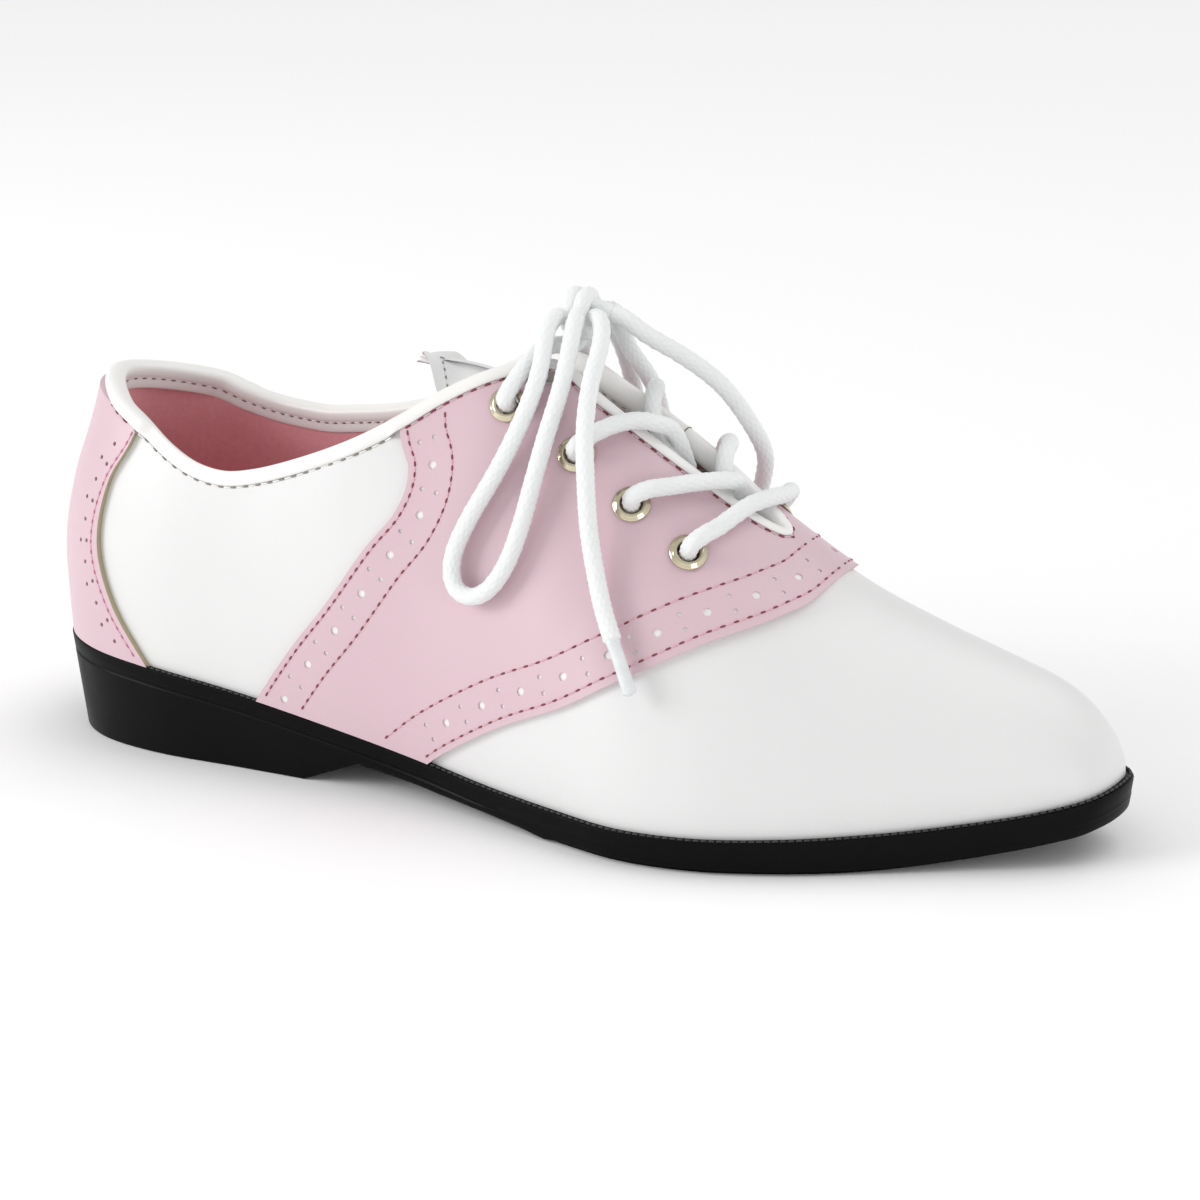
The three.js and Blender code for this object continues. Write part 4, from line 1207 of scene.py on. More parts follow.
def smooth_line(rows: Knots, column: int, steps: int) -> Array:
    """Points seen from the side along an edge that is given by shares of length and instep."""
    x = np.array([r[0] * LENGTH for r in rows])
    z = LAST.seat(x) + np.array([r[column] * INSTEP for r in rows])
    spot = np.arange(len(rows), dtype=float)
    u = np.linspace(0, len(rows) - 1, steps)
    return np.stack([through(spot, x, u), np.zeros(steps), through(spot, z, u)], axis=1)


def edge_places(rows: Knots, side: Side, steps: int = 160) -> tuple[Array, Array]:
    """Places on the last under an edge that is given from the side."""
    line = smooth_line(rows, 1, steps)
    up = line[:, 2] - LAST.seat(line[:, 0])
    ridge = LAST.point(LAST.station(line[:, 0]), np.ones(steps))[:, 2] - LAST.seat(line[:, 0])
    keep = (up > 0) & (up < ridge - 0.2)
    return LAST.at_height(line[keep, 0] / LENGTH, up[keep] / INSTEP, side)


def grown(name: str, lift: float, stations: int = 150, girth: int = 42) -> bpy.types.Object:
    """A closed body of the last grown by lift, with a skirt below the sole's top."""
    t = np.linspace(0, 1, stations + 1)[:, None]
    g = np.concatenate([np.linspace(0, 1, girth), np.linspace(1, 2, girth)[1:]])[None, :]
    body = LAST.lifted(t, g, lift)
    foot = body[:, [0, -1]] - np.array([0, 0, 8.0])
    rings = np.concatenate([foot[:, :1], body, foot[:, 1:], foot[:, :1]], axis=1)
    return new_object(name, surface(rings, close=True))


@dataclass(frozen=True)
class Stitching:
    """A row of lockstitches on the last: dark bites where the thread goes down, and thread between them."""

    pitch: float = 3.3
    bite: float = 1.05
    bite_radius: float = 0.24
    thread_radius: float = 0.2

    def pieces(self, line: Array, normals: Array, bites: bool) -> list[bmesh.types.BMesh]:
        """Small closed meshes along a line.

        Args:
            line: points of the stitch line, on the surface.
            normals: directions off the surface at those points.
            bites: makes the dark bites, or else the thread between them.

        Returns:
            One mesh for each stitch.
        """
        run = np.concatenate([[0], np.cumsum(np.linalg.norm(np.diff(line, axis=0), axis=1))])
        count = max(1, int(run[-1] / self.pitch))
        step = run[-1] / count
        length, radius = (self.bite, self.bite_radius) if bites else (step - self.bite, self.thread_radius)
        dip, shoulder, crown = (-0.16, 0.0, 0.06) if bites else (-0.2, -0.02, 0.04)
        rise = np.array([dip, shoulder, crown, shoulder, dip])
        made = []
        for k in range(count):
            middle = (k + (0.5 if bites else 1.0)) * step
            if middle + length / 2 > run[-1]:
                continue
            at = middle + np.linspace(-0.5, 0.5, 5) * length
            p = np.stack([np.interp(at, run, line[:, a]) for a in range(3)], axis=1)
            n = np.stack([np.interp(at, run, normals[:, a]) for a in range(3)], axis=1)
            made.append(surface(
                sweep(p + unit(n) * rise[:, None], even_radius(radius), 6), close=True))
        return made


Row3 = tuple[Array, Array, Stitching]


def build_stitches(
    name: str, rows: Sequence[Row3], bite: bpy.types.Material, thread: bpy.types.Material,
) -> None:
    """Sews rows of stitches as two pieces, the bites and the thread."""
    for bites, suffix, material in ((True, "bites", bite), (False, "thread", thread)):
        made = [
            m for line, normals, kind in rows if len(line) > 4
            for m in kind.pieces(line, normals, bites)]
        piece = new_object(f"{name}_{suffix}", join(made))
        tidy(piece, 180)
        dress(piece, material)


class Openings:
    """Cutting bodies for the collar and the throat, and the line that the binding follows."""

    FAR = 90.0
    HIGH = 180.0
    SPARE = 0.875

    def __init__(self) -> None:
        """Makes the cutting bodies."""
        self.bodies = [self.collar(Side.OUTER), self.collar(Side.INNER), self.throat()]
        self.below = self.below_sole()

    def collar(self, side: Side) -> bpy.types.Object:
        """Half of the collar opening, cut from the side."""
        line = smooth_line(TOPLINE, 1 if side is Side.OUTER else 2, 90)
        line[:, 2] -= self.SPARE
        x0, z0 = -self.FAR, line[0, 2]
        ends = [[line[-1, 0] + 7, 0, self.HIGH], [x0, 0, self.HIGH]]
        outline = np.vstack([[[x0, 0, z0]], line, ends])
        middle = THROAT_BASE[1] * BALL_WIDTH
        start, stop = (-self.FAR, middle + GAP) if side is Side.OUTER else (middle - GAP, self.FAR)
        outline[:, 1] = start
        return outline_prism(f"collar_{side.name.lower()}", outline, np.array([0, stop - start, 0]))

    def throat(self) -> bpy.types.Object:
        """Throat opening, cut from above."""
        outer = [(r[0] * LENGTH, r[1] * BALL_WIDTH - self.SPARE) for r in THROAT]
        inner = [(r[0] * LENGTH, r[2] * BALL_WIDTH + self.SPARE) for r in THROAT][::-1]
        base = (THROAT_BASE[0] * LENGTH + self.SPARE, THROAT_BASE[1] * BALL_WIDTH)
        corners = np.array([*outer, base, *inner])
        spot = np.arange(len(corners), dtype=float)
        u = np.linspace(0, len(corners) - 1, 100)
        curve = np.stack([through(spot, corners[:, a], u) for a in (0, 1)], axis=1)
        start = TOPLINE[-3][0] * LENGTH
        outline = np.vstack([[start, curve[0, 1]], curve, [start, curve[-1, 1]]])
        outline = np.column_stack([outline, np.full(len(outline), INSTEP / 2)])
        return outline_prism("throat", outline, np.array([0, 0, self.HIGH]))

    def below_sole(self) -> bpy.types.Object:
        """Everything up to just over the sole's top."""
        x = np.linspace(-0.05, 1.05, 90) * LENGTH
        top = np.stack([x, np.full(90, -self.FAR), LAST.seat(x) + 0.05], axis=1)
        ends = [[x[-1], -self.FAR, -self.FAR], [x[0], -self.FAR, -self.FAR]]
        return outline_prism("below", np.vstack([top, ends]), np.array([0, 2 * self.FAR, 0]))

    def cuts(self) -> list[tuple[bpy.types.Object, Cut]]:
        """The cuts that every leather layer gets."""
        return [(body, Cut.TAKE_OFF) for body in (*self.bodies, self.below)]


def binding_line() -> tuple[Array, Array, Array]:
    """Places along the binding, once round: stations, girth places, and a closed smooth spacing."""
    t_back, g_back = LAST.at_height(np.array([LAST.heel / LENGTH]), np.array([TOPLINE[0][1]]), Side.OUTER)
    rows = TOPLINE[1:-2]
    at = np.array([r[0] for r in rows])
    outer = LAST.at_height(at, np.array([r[1] for r in rows]), Side.OUTER)
    inner = LAST.at_height(at, np.array([r[2] for r in rows]), Side.INNER)
    throat_at = np.array([r[0] for r in THROAT])
    near = LAST.across(throat_at, np.array([r[1] * BALL_WIDTH for r in THROAT]))
    far = LAST.across(throat_at, np.array([r[2] * BALL_WIDTH for r in THROAT]))
    base = LAST.across(np.array([THROAT_BASE[0]]), np.array([THROAT_BASE[1] * BALL_WIDTH]))
    t = np.concatenate([t_back, outer[0], near[0], base[0], far[0][::-1], inner[0][::-1]])
    g = np.concatenate([g_back, outer[1], near[1], base[1], far[1][::-1], inner[1][::-1]])
    return t, g, LAST.normal(t, g)


@dataclass
class Binding:
    """White strip folded over the edge of collar and throat, stitched through."""

    finishes: Finishes
    outer_lip: float = 2.2
    band: float = 5.2
    thickness: float = 0.65
    step: float = 1.0
    strap_end: float = 31.5
    saddle_start: float = 95.0
    line: Array = field(init=False)
    off: Array = field(init=False)
    up: Array = field(init=False)
    foot: Array = field(init=False)

    def __post_init__(self) -> None:
        """Finds the line of the edge, directions off it and towards the opening, and the band's foot."""
        t, g, normals = binding_line()
        centres = LAST.point(t, g)
        wrapped = np.vstack([centres[-2:], centres, centres[:3]])
        chord = np.concatenate([[0], np.cumsum(np.sqrt(np.linalg.norm(np.diff(wrapped, axis=0), axis=1)))])
        fine = np.linspace(chord[2], chord[-3], 3000)

        def weave(values: Array, at: Array) -> Array:
            """Smooth values round the line from one at each knot."""
            v = np.vstack([values[-2:], values, values[:3]])
            return np.stack([through(chord, v[:, a], at) for a in range(3)], axis=1)

        dense = weave(centres, fine)
        run = np.concatenate([[0], np.cumsum(np.linalg.norm(np.diff(dense, axis=0), axis=1))])
        places = np.interp(np.linspace(0, run[-1], round(run[-1] / self.step) + 1)[:-1], run, fine)
        self.line = weave(centres, places)
        ahead = unit(np.roll(self.line, -1, 0) - np.roll(self.line, 1, 0))
        off = unit(weave(normals, places))
        self.off = unit(off - ahead * np.sum(off * ahead, axis=1, keepdims=True))
        self.up = np.cross(self.off, ahead)
        close = [int(np.argmin(np.linalg.norm(self.line - c, axis=1))) for c in centres]
        low = LAST.lifted(*LAST.nearest(t, g, centres - self.up[close] * self.band), -WALL)
        self.foot = weave(low - centres, places)

    def base_height(self) -> Array:
        """Height of what lies under the outer lip: bare upper, or saddle and strap."""
        x = self.line[:, 0]
        strap = 1 - ease(self.strap_end, self.strap_end + 2, x)
        saddle = ease(self.saddle_start, self.saddle_start + 2, x)
        return (GAP + OVERLAY) * (strap + saddle)

    def below(self, points: Array) -> Array:
        """Distance of points from the line, less than nothing in the opening."""
        apart = points[:, None] - self.line[None]
        near = np.argmin(np.linalg.norm(apart, axis=2), axis=1)
        gap = apart[np.arange(len(points)), near]
        return -np.sign(np.sum(gap * self.up[near], axis=1)) * np.linalg.norm(gap, axis=1)

    def build(self) -> None:
        """Makes the binding and its stitches."""
        base = self.base_height()[:, None]
        high = base + self.thickness
        k, lip = self.thickness, self.outer_lip
        outside = [
            (base + 0.02, -lip), (base + 0.55 * k, -lip - 0.02), (high - 0.02, -lip + 0.4),
            (high + 0.08, -1.2), (high + 0.03, -0.3), (high - 0.2, 0.5), (high * 0.55, 1.05), (0.1, 1.3),
            (-1.1, 1.2), (0.05 - WALL, 0.7), (-0.5 - WALL, 0.0),
        ]
        inside = [(0.6, 0.28), (0.5, 0.4), (0.22, 0.5), (0.4, 0.6), (0.42, 0.94), (0.22, 1.0), (-0.1, 0.98),
                  (-0.15, 0.25)]
        back = [(0.6 - WALL, -0.6), (base - 0.1, -0.6), (base - 0.05, -1.5), (base + 0.02, -lip)]
        down = self.foot + self.off * WALL
        rings = [self.line + self.off * n + self.up * a for n, a in outside]
        rings += [self.line - self.off * (WALL + n) + down * share for n, share in inside]
        rings += [self.line + self.off * n + self.up * a for n, a in back]
        points = np.stack(rings, axis=1)
        piece = new_object("folded_binding", surface(np.concatenate([points, points[:1]]), close=True))
        soften = piece.modifiers.new("round", "SUBSURF")
        soften.levels = soften.render_levels = 1
        bake_modifiers(piece)
        tidy(piece, 60)
        dress(piece, self.finishes.binding, ["collar_binding"])
        self.stitch(down)
        self.build_seam()

    def stitch(self, down: Array) -> None:
        """Makes the rows that hold the binding, outside under its lip and inside through its band."""
        lip = self.outer_lip + 0.3
        outside = self.line + self.off * (self.base_height() + 0.06)[:, None] - self.up * lip
        inside = self.line - self.off * (WALL + 0.24) + down * 0.5
        kind = Stitching(pitch=3.3, bite=1.3, bite_radius=0.22)
        pink = (self.line[:, 0] > self.saddle_start + 3) | (self.line[:, 0] < self.strap_end - 2)
        every = np.ones(len(pink), bool)
        made = self.finishes
        rows = self.stretches(outside, self.off, pink, kind)
        build_stitches("binding_rose", rows, made.dark_rose, made.pink)
        rows = self.stretches(outside, self.off, ~pink, kind)
        build_stitches("binding_grey", rows, made.grey_thread, made.binding)
        rows = self.stretches(inside, -self.off, every, Stitching(pitch=2.7, bite=1.25, bite_radius=0.24))
        build_stitches("binding_inside", rows, made.umber_thread, made.binding)

    @staticmethod
    def stretches(line: Array, normals: Array, chosen: Array, kind: Stitching) -> list[Row3]:
        """The chosen stretches of a closed line."""
        edges = np.flatnonzero(np.diff(chosen.astype(int)) != 0) + 1
        parts = [p for p in np.split(np.arange(len(line)), edges) if chosen[p[0]]]
        return [(line[p], normals[p], kind) for p in parts]

    def build_seam(self) -> None:
        """Makes the joint of the strip, a thin dark line across its band on the inner side of the throat."""
        target = np.array([153.5, 9.0, 80.5])
        i = int(np.argmin(np.linalg.norm(self.line - target, axis=1)))
        high = float(self.base_height()[i]) + self.thickness
        corners = [(high + 0.04, -2.1), (high + 0.1, -1.2), (high + 0.05, -0.3), (high - 0.18, 0.5),
                   (high * 0.55, 1.07), (0.1, 1.32), (-1.1, 1.22), (0.05 - WALL, 0.72), (-0.52 - WALL, -0.1)]
        path = np.stack([self.line[i] + self.off[i] * n + self.up[i] * a for n, a in corners])
        thin = sweep(spaced(path, 0.4), even_radius(0.13), 8)
        piece = new_object("binding_joint", surface(thin, close=True))
        tidy(piece, 180)
        dress(piece, self.finishes.umber_thread)


def side_row(rows: Knots, side: Side, inset: float, lift: float) -> tuple[Array, Array]:
    """A line on the last beside an edge that is given from the side.

    Args:
        rows: the edge.
        side: side of the shoe.
        inset: distance from the edge, to its left seen from outside the shoe.
        lift: distance off the last.

    Returns:
        Points of the line and directions off the last, from sole to ridge as far as the side reaches.
    """
    t, g = edge_places(rows, side)
    edge, normal = LAST.point(t, g), LAST.normal(t, g)
    moved = edge + np.cross(normal, unit(np.gradient(edge, axis=0))) * inset
    more = np.arange(1, 15)[:, None]
    first, final = unit(moved[0] - moved[3]), unit(moved[-1] - moved[-4])
    wanted = np.vstack([moved[0] + first * more[::-1], moved, moved[-1] + final * more])
    t = np.concatenate([np.full(14, t[0]), t, np.full(14, t[-1])])
    g = np.concatenate([np.full(14, g[0]), g, np.full(14, g[-1])])
    t, g = LAST.nearest(t, g, wanted)
    w = g if side is Side.OUTER else 2 - g
    keep = (np.linalg.norm(LAST.point(t, g) - wanted, axis=1) < 2.5) & (w < 1) & (w > 0.01)
    t, g = t[keep], g[keep]
    return LAST.lifted(t, g, lift), LAST.normal(t, g)


Spot = tuple[Array, Array]


@dataclass
class Leather:
    """Upper shell, saddle, heel strap and linings."""

    finishes: Finishes
    openings: Openings
    binding: Binding
    large_hole: float = 0.95
    small_hole: float = 0.52
    edge_row: float = 1.4
    second_row: float = 10.3
    hole_row: float = 5.5
    pair_reach: float = 1.8
    half_pitch: float = 5.75
    rear_start: float = 5.2
    front_start: float = 9.0
    strap_start: float = 4.0
    strap_row: float = 4.4
    strap_pair: float = 1.3
    strap_half_pitch: float = 5.1
    backing_depth: float = 0.5

    def shell(
        self, name: str, outer: float, inner: float, material: bpy.types.Material,
        more: Sequence[tuple[bpy.types.Object, Cut]],
    ) -> bpy.types.Object:
        """A layer between two distances off the last, cut open."""
        piece = grown(name, outer)
        piece.data.materials.append(material)
        core = grown("core", inner)
        carve(piece, [(core, Cut.TAKE_OFF), *self.openings.cuts(), *more])
        discard(core)
        tidy(piece)
        return piece

    def side_body(self, outline: Array, edge: bpy.types.Material | None = None) -> bpy.types.Object:
        """A body pushed through the shoe from its outer side."""
        outline = np.array(outline, float)
        outline[:, 1] = -90
        body = outline_prism("panel", outline, np.array([0, 180, 0]))
        if edge:
            body.data.materials.append(edge)
        return body

    def eyelet_holes(self) -> bpy.types.Object:
        """Cutting body for the eyelets' barrels."""
        rows = range(len(EYELETS))
        spots = [(on_eyelet(row, side, 0), self.eyelet_normal(row, side)) for side in Side for row in rows]
        return self.drill("eyelet_holes", spots, 2.95, 24)

    @staticmethod
    def eyelet_normal(row: int, side: Side) -> Array:
        """Direction off the shoe at an eyelet."""
        at = EYELETS[row][1 if side is Side.INNER else 0]
        t, g = LAST.at_height(np.array([at]), np.array([EYELETS[row][2]]), side)
        return LAST.normal(t, g)[0]

    @staticmethod
    def drill(
        name: str, spots: Sequence[Spot], radius: float, sides: int, half: float = 6.0,
    ) -> bpy.types.Object:
        """Cylinders at spots along their normals, as one body."""
        bm = bmesh.new()
        for point, normal in spots:
            turn = Vector(normal.tolist()).to_track_quat("Z", "Y").to_matrix().to_4x4()
            turn.translation = Vector(Row.place(point).tolist())
            bmesh.ops.create_cone(
                bm, cap_ends=True, segments=sides, radius1=radius * MM, radius2=radius * MM,
                depth=2 * half * MM, matrix=turn)
        return new_object(name, bm)

    def clear(self, point: Array, margin: float) -> bool:
        """Whether a hole at a point clears the sole and the binding."""
        above = point[2] - float(LAST.seat(np.array([point[0]]))[0])
        return above > 2.2 and float(self.binding.below(point[None])[0]) > 3.6 + margin

    def brogue(
        self, row: Spot, start: float, half_pitch: float, reach: float,
    ) -> tuple[list[Spot], list[Spot]]:
        """Holes along a row: single ones, and between them pairs across it, a pair first."""
        line, normal = row
        across = np.cross(normal, unit(np.gradient(line, axis=0)))
        run = np.concatenate([[0], np.cumsum(np.linalg.norm(np.diff(line, axis=0), axis=1))])
        single: list[Spot] = []
        pairs: list[Spot] = []
        for turn, s in enumerate(np.arange(start, run[-1] - 1, half_pitch)):
            p, n, a = (
                np.array([np.interp(s, run, v[:, c]) for c in range(3)]) for v in (line, normal, across))
            if turn % 2:
                single.append((p, n))
            else:
                pairs += [(p + a * reach, n), (p - a * reach, n)]
        return ([q for q in single if self.clear(q[0], 0.9)], [q for q in pairs if self.clear(q[0], 0.5)])

    def build(self) -> None:
        """Makes all the layers."""
        made = self.finishes
        holes = self.eyelet_holes()
        white = self.shell("upper_leather", 0.0, -1.5, made.white, [(holes, Cut.TAKE_OFF)])
        dress(white, made.white, ["upper"])
        split = self.side_body(np.array([[97, 0, -90], [112, 0, 180], [-90, 0, 180], [-90, 0, -90]]))
        rear = self.shell("quarter_lining", -1.52, -WALL, made.lining, [(split, Cut.KEEP)])
        dress(rear, made.lining)
        # The facing lining's copper colour holds painted shade.
        front = self.shell(
            "facing_lining", -1.52, -WALL, made.facing, [(split, Cut.TAKE_OFF), (holes, Cut.TAKE_OFF)])
        dress(front, made.facing)
        self.build_saddle(holes)
        self.build_strap()
        discard(split, holes)

    def trimmed(self, row: Spot, kind: Stitching) -> Row3:
        """The part of a row that lies clear of the binding."""
        line, normal = row
        keep = self.binding.below(line) > 2.9
        return line[keep], normal[keep], kind

    def build_saddle(self, holes: bpy.types.Object) -> None:
        """Makes the saddle with its punched holes and stitches."""
        made = self.finishes
        outline = np.vstack([smooth_line(SADDLE_REAR, 1, 120), smooth_line(SADDLE_FRONT, 1, 120)])
        panel = self.side_body(outline, made.pale_edge)
        single: list[Spot] = []
        pairs: list[Spot] = []
        rows: list[Row3] = []
        for side in Side:
            for knots, start, pitch in (
                (SADDLE_REAR, self.rear_start, 2.35), (SADDLE_FRONT, self.front_start, 3.1),
            ):
                to_inside = -side.value
                row = side_row(knots, side, to_inside * self.hole_row, GAP + OVERLAY)
                some, more = self.brogue(row, start, self.half_pitch, self.pair_reach)
                single += some
                pairs += more
                for inset in (self.edge_row, self.second_row):
                    seam = side_row(knots, side, to_inside * inset, GAP + OVERLAY)
                    rows.append(self.trimmed(seam, Stitching(pitch)))
        large = self.drill("large_drill", single, self.large_hole, 20, 2.0)
        small = self.drill("small_drill", pairs, self.small_hole, 12, 2.0)
        piece = self.shell(
            "saddle_leather", GAP + OVERLAY, 0.05, made.pink,
            [(panel, Cut.KEEP), (holes, Cut.TAKE_OFF), (large, Cut.TAKE_OFF), (small, Cut.TAKE_OFF)])
        dress(piece, made.pink, ["saddle"])
        discard(panel, large, small)
        for name, spots, radius in (("large_punch_backing", single, self.large_hole),
                                    ("small_punch_backing", pairs, self.small_hole)):
            sunk = [(p - n * self.backing_depth, n) for p, n in spots]
            backing = self.drill(name, sunk, radius + 0.1, 20, 0.12)
            tidy(backing)
            # The backing takes the binding's lighter white, which carries painted light.
            dress(backing, made.binding)
        build_stitches("saddle", rows, made.dark_rose, made.pink_thread)

    def build_strap(self) -> None:
        """Makes the heel strap with its holes and stitches."""
        made = self.finishes
        front = smooth_line(STRAP_FRONT, 1, 100)
        outline = np.vstack([front, [[-90, 0, front[-1, 2]], [-90, 0, front[0, 2]]]])
        panel = self.side_body(outline, made.tan_edge)
        spots: list[Spot] = []
        rows: list[Row3] = []
        for side in Side:
            row = side_row(STRAP_FRONT, side, side.value * self.strap_row, GAP + OVERLAY)
            single, pairs = self.brogue(row, self.strap_start, self.strap_half_pitch, self.strap_pair)
            spots += [q for q in [*single, *pairs] if q[0][0] > 2]
            seam = side_row(STRAP_FRONT, side, side.value * self.edge_row, GAP + OVERLAY)
            rows.append(self.trimmed(seam, Stitching(2.4)))
        drill = self.drill("strap_drill", spots, self.small_hole, 12, 2.0)
        piece = self.shell(
            "heel_strap_leather", GAP + OVERLAY, 0.05, made.pink, [(panel, Cut.KEEP), (drill, Cut.TAKE_OFF)])
        dress(piece, made.pink, ["heel_strap"])
        discard(panel, drill)
        build_stitches("heel_strap", rows, made.faint_rose, made.pink_thread)


@dataclass
class Eyelet:
    """Rolled two-part eyelet, turned from a strip."""

    finishes: Finishes
    bore: float = 2.35
    barrel: float = 2.75
    flange: float = 4.2
    rise: float = 1.0

    def build(self, row: int, side: Side) -> None:
        """Makes one eyelet on its place."""
        foot = -(OVERLAY + GAP + WALL + GAP)
        profile = [
            (self.bore + 0.25, foot), (self.bore, foot + 0.8), (self.bore, GAP),
            (self.bore + 0.12, GAP + 0.75), (self.bore + 0.45, GAP + self.rise),
            (self.bore + 0.85, GAP + self.rise - 0.12), (self.bore + 1.25, GAP + 0.55),
            (self.flange - 0.25, GAP + 0.38), (self.flange, GAP + 0.15), (self.flange - 0.1, GAP),
            (self.flange - 0.5, GAP + 0.02), (self.barrel, GAP), (self.barrel, foot + 0.4),
            (self.bore + 0.25, foot),
        ]
        bm = bmesh.new()
        verts = [bm.verts.new((r * MM, 0, h * MM)) for r, h in profile[:-1]]
        edges = [bm.edges.new((verts[i], verts[(i + 1) % len(verts)])) for i in range(len(verts))]
        bmesh.ops.spin(
            bm, geom=[*verts, *edges], cent=(0, 0, 0), axis=(0, 0, 1), angle=2 * math.pi, steps=40,
            use_merge=True)
        bmesh.ops.remove_doubles(bm, verts=bm.verts, dist=1e-7)
        bmesh.ops.recalc_face_normals(bm, faces=bm.faces)
        normal = Leather.eyelet_normal(row, side)
        turn = Vector(normal.tolist()).to_track_quat("Z", "Y").to_matrix().to_4x4()
        turn.translation = Vector(Row.place(on_eyelet(row, side, GAP + OVERLAY)).tolist())
        bmesh.ops.transform(bm, matrix=turn, verts=bm.verts)
        name = f"{side.name.lower()}_{row + 1}"
        piece = new_object(f"rolled_eyelet_{name}", bm)
        soften = piece.modifiers.new("round", "SUBSURF")
        soften.levels = soften.render_levels = 1
        bake_modifiers(piece)
        tidy(piece, 180)
        dress(piece, self.finishes.nickel, [f"eyelet_{name}"])


@dataclass
class Tongue:
    """White leather tongue that sinks between the facings, with a rounded, stitched top."""

    finishes: Finishes
    centre: float = 2.5
    half_width: float = 19.0
    lift: float = -3.2
    thickness: float = 3.0
    corner: float = 16.0
    held_from: float = 30.0

    def layer(self, x: Array, lean: Array, drop: Array | float) -> Array:
        """Points of the tongue.

        Args:
            x: distance from the heel.
            lean: from -1 at the outer edge to 1 at the inner edge.
            drop: share of the thickness below the upper face.

        Returns:
            The points.
        """
        x, lean = np.broadcast_arrays(x, lean)
        first = TONGUE_LINE[0][0] * LENGTH
        free = 1 - ease(first, first + self.corner, x)
        reach = self.half_width * np.sqrt(1 - 0.75 * free**2)
        held = np.maximum(x, first + self.held_from)
        ridge = LAST.point(LAST.station(held), np.ones_like(x))[..., 2] + self.lift
        wanted = self.height(held)
        sink = np.maximum(ridge - wanted, 0)
        t, g = LAST.across(held / LENGTH, self.centre + lean * reach)
        depth = np.asarray(drop) * self.thickness * (1 - 0.6 * free)
        lying = LAST.lifted(t, g, self.lift - sink * (1 - lean**2) - depth)
        return lying + np.stack([x - held, 0 * x, self.height(x) - wanted], axis=-1)

    @staticmethod
    def height(x: Array) -> Array:
        """Height of the tongue's upper face along its middle."""
        return LAST.seat(x) + read(TONGUE_LINE, 1, x / LENGTH) * INSTEP

    def build(self) -> None:
        """Makes the tongue and its stitch row."""
        first, final = TONGUE_LINE[0][0] * LENGTH, TONGUE_LINE[-1][0] * LENGTH
        rows = np.linspace(0, 1, 80)[:, None] ** 1.2
        across = np.linspace(-1, 1, 40)
        loop = np.concatenate([across, across[::-1], across[:1]])[None, :]
        drop = np.concatenate([np.zeros(40), np.ones(40), [0]])[None, :]
        x = first + (final - first) * rows + 0 * loop
        points = self.layer(x, loop, drop)
        caps = [np.repeat(points[i].mean(axis=0)[None], points.shape[1], 0)[None] for i in (0, -1)]
        rings = np.concatenate([caps[0], points, caps[1]])
        piece = new_object("tongue_leather", surface(rings, close=True))
        tidy(piece, 50)
        made = self.finishes
        dress(piece, made.white, ["tongue"])
        lean = np.linspace(-0.86, 0.86, 60)
        line = self.layer(first + 3.5 + 9.0 * lean**4, lean, -0.01)
        normal = np.tile([0.0, 0.0, 1.0], (60, 1))
        build_stitches(
            "tongue", [(line, normal, Stitching(pitch=2.8))], made.grey_thread, made.white)


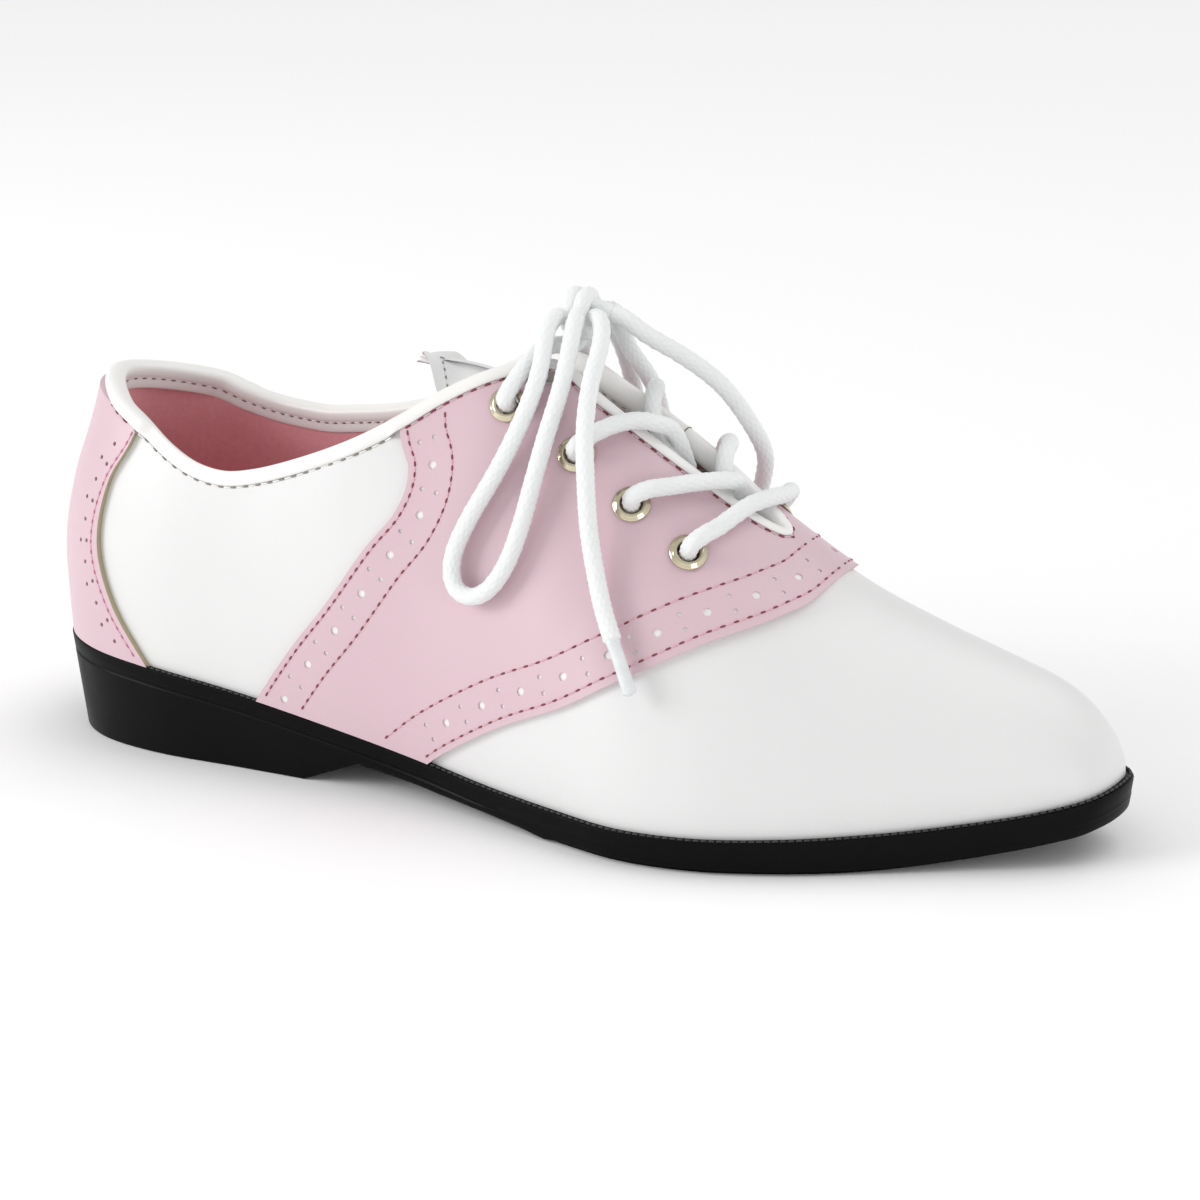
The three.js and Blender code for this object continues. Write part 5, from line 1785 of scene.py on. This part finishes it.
@dataclass
class Sole:
    """One moulded sole and heel, with a stitched-look rim and a tread pad, and the sock on it."""

    finishes: Finishes
    draft: float = 0.09
    rim_bevel: float = 0.5
    floor_bevel: float = 0.6
    groove_depth: float = 0.35
    groove_top: float = 3.6
    groove_width: float = 1.0
    pad_step: float = 0.9
    pad_inset: float = 1.0
    pad_start: float = 0.545
    pad_full: float = 0.57
    spring_start: float = 0.8
    spring_power: float = 1.6
    spring_height: float = 8.3
    tick_pitch: float = 1.65

    @staticmethod
    def plan(t: Array, side: float, reach: Array) -> Array:
        """Foot of the last in plan, moved out by reach."""
        g = 0.0 if side < 0 else 2.0
        tt = np.clip(t, NUDGE, 1 - NUDGE)
        ahead = LAST.point(tt + NUDGE, g) - LAST.point(tt - NUDGE, g)
        out = np.stack([ahead[..., 1], -ahead[..., 0], 0 * t], axis=-1) * -side
        out = unit(out)
        ends = (t <= 0) | (t >= 1)
        out = np.where(ends[..., None], np.stack([np.where(t <= 0, -1.0, 1.0), 0 * t, 0 * t], axis=-1), out)
        return LAST.point(t, np.full_like(t, g)) + out * np.asarray(reach)[..., None]

    def spring(self, x: Array) -> Array:
        """Rise of the toe."""
        share = np.clip((x / LENGTH - self.spring_start) / (1 - self.spring_start), 0, 1)
        return self.spring_height * share**self.spring_power

    def rim(self, x: Array) -> Array:
        """Lowest face of the rim."""
        at = x / LENGTH
        waist = np.interp(at, [r[0] for r in UNDERSIDE], [r[1] for r in UNDERSIDE]) * HEEL
        pad = self.pad_step * ease(self.pad_start, self.pad_full, at)
        return np.maximum(waist, pad) + self.spring(x)

    def rings(self) -> Array:
        """Points of the sole, ring by ring from heel to toe."""
        breast = LAST.station(np.array([0.295, 0.2965, 0.353, self.pad_start, self.pad_full]) * LENGTH)
        t = np.unique(np.concatenate([np.linspace(0, 1, 281), breast]))
        sides = []
        for side in (-1.0, 1.0):
            x = LAST.x_at(t)
            top, foot, spring = LAST.seat(x), self.rim(x), self.spring(x)
            pad = spring + (foot - spring) * (1 - ease(self.pad_start, self.pad_full, x / LENGTH))
            fade = 1 - ease(0.45, 0.6, x / LENGTH)
            groove = self.groove_depth * fade
            gz = top - self.groove_top
            low = gz - self.groove_width
            slope = self.draft
            edge = slope * (top - foot) + self.floor_bevel
            zero = 0 * x
            levels = [
                (zero + 5.0, top), (zero + 1.9, top), (zero + self.rim_bevel, top),
                (zero + 0.14, top - 0.14), (zero, top - self.rim_bevel),
                (slope * (top - gz - 0.8), gz + 0.8), (slope * (top - gz), gz),
                (slope * (top - gz) + groove * 0.8, gz - 0.25),
                (slope * (top - gz) + groove, (gz + low) / 2),
                (slope * (top - gz) + groove * 0.8, low + 0.25), (slope * (top - low), low),
                (slope * (top - low) + 0.02, low - 0.5),
                (slope * (top - foot), foot + self.floor_bevel), (edge - 0.43, foot + 0.17), (edge, foot),
                (edge + self.pad_inset, foot), (edge + self.pad_inset + 0.05, pad),
                (edge + self.pad_inset + 1.5, pad),
            ]
            sides.append(np.stack([
                np.concatenate([self.plan(t, side, LEDGE - inset)[:, :2], z[:, None]], axis=1)
                for inset, z in levels
            ], axis=1))
        rings = np.concatenate([sides[0], sides[1][:, ::-1], sides[0][:, :1]], axis=1)
        return rings

    def build(self) -> None:
        """Makes the sole, its welt ticks and the sock."""
        piece = new_object("moulded_sole", surface(self.rings(), close=True))
        tidy(piece, 30)
        dress(piece, self.finishes.rubber, ["outsole"])
        self.build_ticks()
        self.build_sock()

    def build_ticks(self) -> None:
        """Makes the moulded stitches along the top of the rim, in a grey lighter than the sole's rubber: a
        painted highlight.
        """
        ticks = []
        for side in (-1.0, 1.0):
            t = np.linspace(0.0, 1.0, 900)
            line = self.plan(t, side, np.full_like(t, LEDGE - 0.75))
            line[:, 2] = LAST.seat(line[:, 0]) + 0.02
            run = np.concatenate([[0], np.cumsum(np.linalg.norm(np.diff(line, axis=0), axis=1))])
            for s in np.arange(self.tick_pitch / 2, run[-1], self.tick_pitch):
                ends = s + np.array([-0.5, 0, 0.5]) * self.tick_pitch * 0.68
                p = np.stack([np.interp(ends, run, line[:, a]) for a in range(3)], axis=1)
                p[:, 2] += np.array([-0.02, 0.1, -0.02])
                ticks.append(surface(sweep(p, even_radius(0.3), 6), close=True))
        piece = new_object("welt_ticks", join(ticks))
        tidy(piece, 180)
        dress(piece, self.finishes.tick_painted_highlight)

    def build_sock(self) -> None:
        """Makes the lined insole."""
        t = np.linspace(0, 1, 161)
        reach = -(WALL + 0.8)
        levels = [(3.0, 0.0), (0.0, 0.0), (0.0, 2.2), (0.35, 2.8), (1.2, 3.0), (6.0, 3.0)]
        sides = []
        for side in (-1.0, 1.0):
            ring = []
            for inset, up in levels:
                p = self.plan(t, side, np.full_like(t, reach - inset))
                p[:, 2] = LAST.seat(p[:, 0]) + GAP + up
                ring.append(p)
            sides.append(np.stack(ring, axis=1))
        rings = np.concatenate([sides[0], sides[1][:, ::-1], sides[0][:, :1]], axis=1)
        piece = new_object("lined_insole", surface(rings, close=True))
        tidy(piece, 40)
        dress(piece, self.finishes.lining, ["insole"])


def main() -> None:
    """Builds the shoe and its studio."""
    logging.basicConfig(level=logging.INFO, format="%(message)s")
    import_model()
    Row.settle()
    Viewpoint().build()
    finishes = Finishes()
    lace = Lace(finishes)
    lace.build_free()
    lace.build_laced()
    Sole(finishes).build()
    openings = Openings()
    binding = Binding(finishes)
    Leather(finishes, openings, binding).build()
    discard(*openings.bodies, openings.below)
    binding.build()
    Tongue(finishes).build()
    for side in Side:
        for row in range(len(EYELETS)):
            Eyelet(finishes).build(row, side)
    Studio().build()


if __name__ == "__main__":
    main()
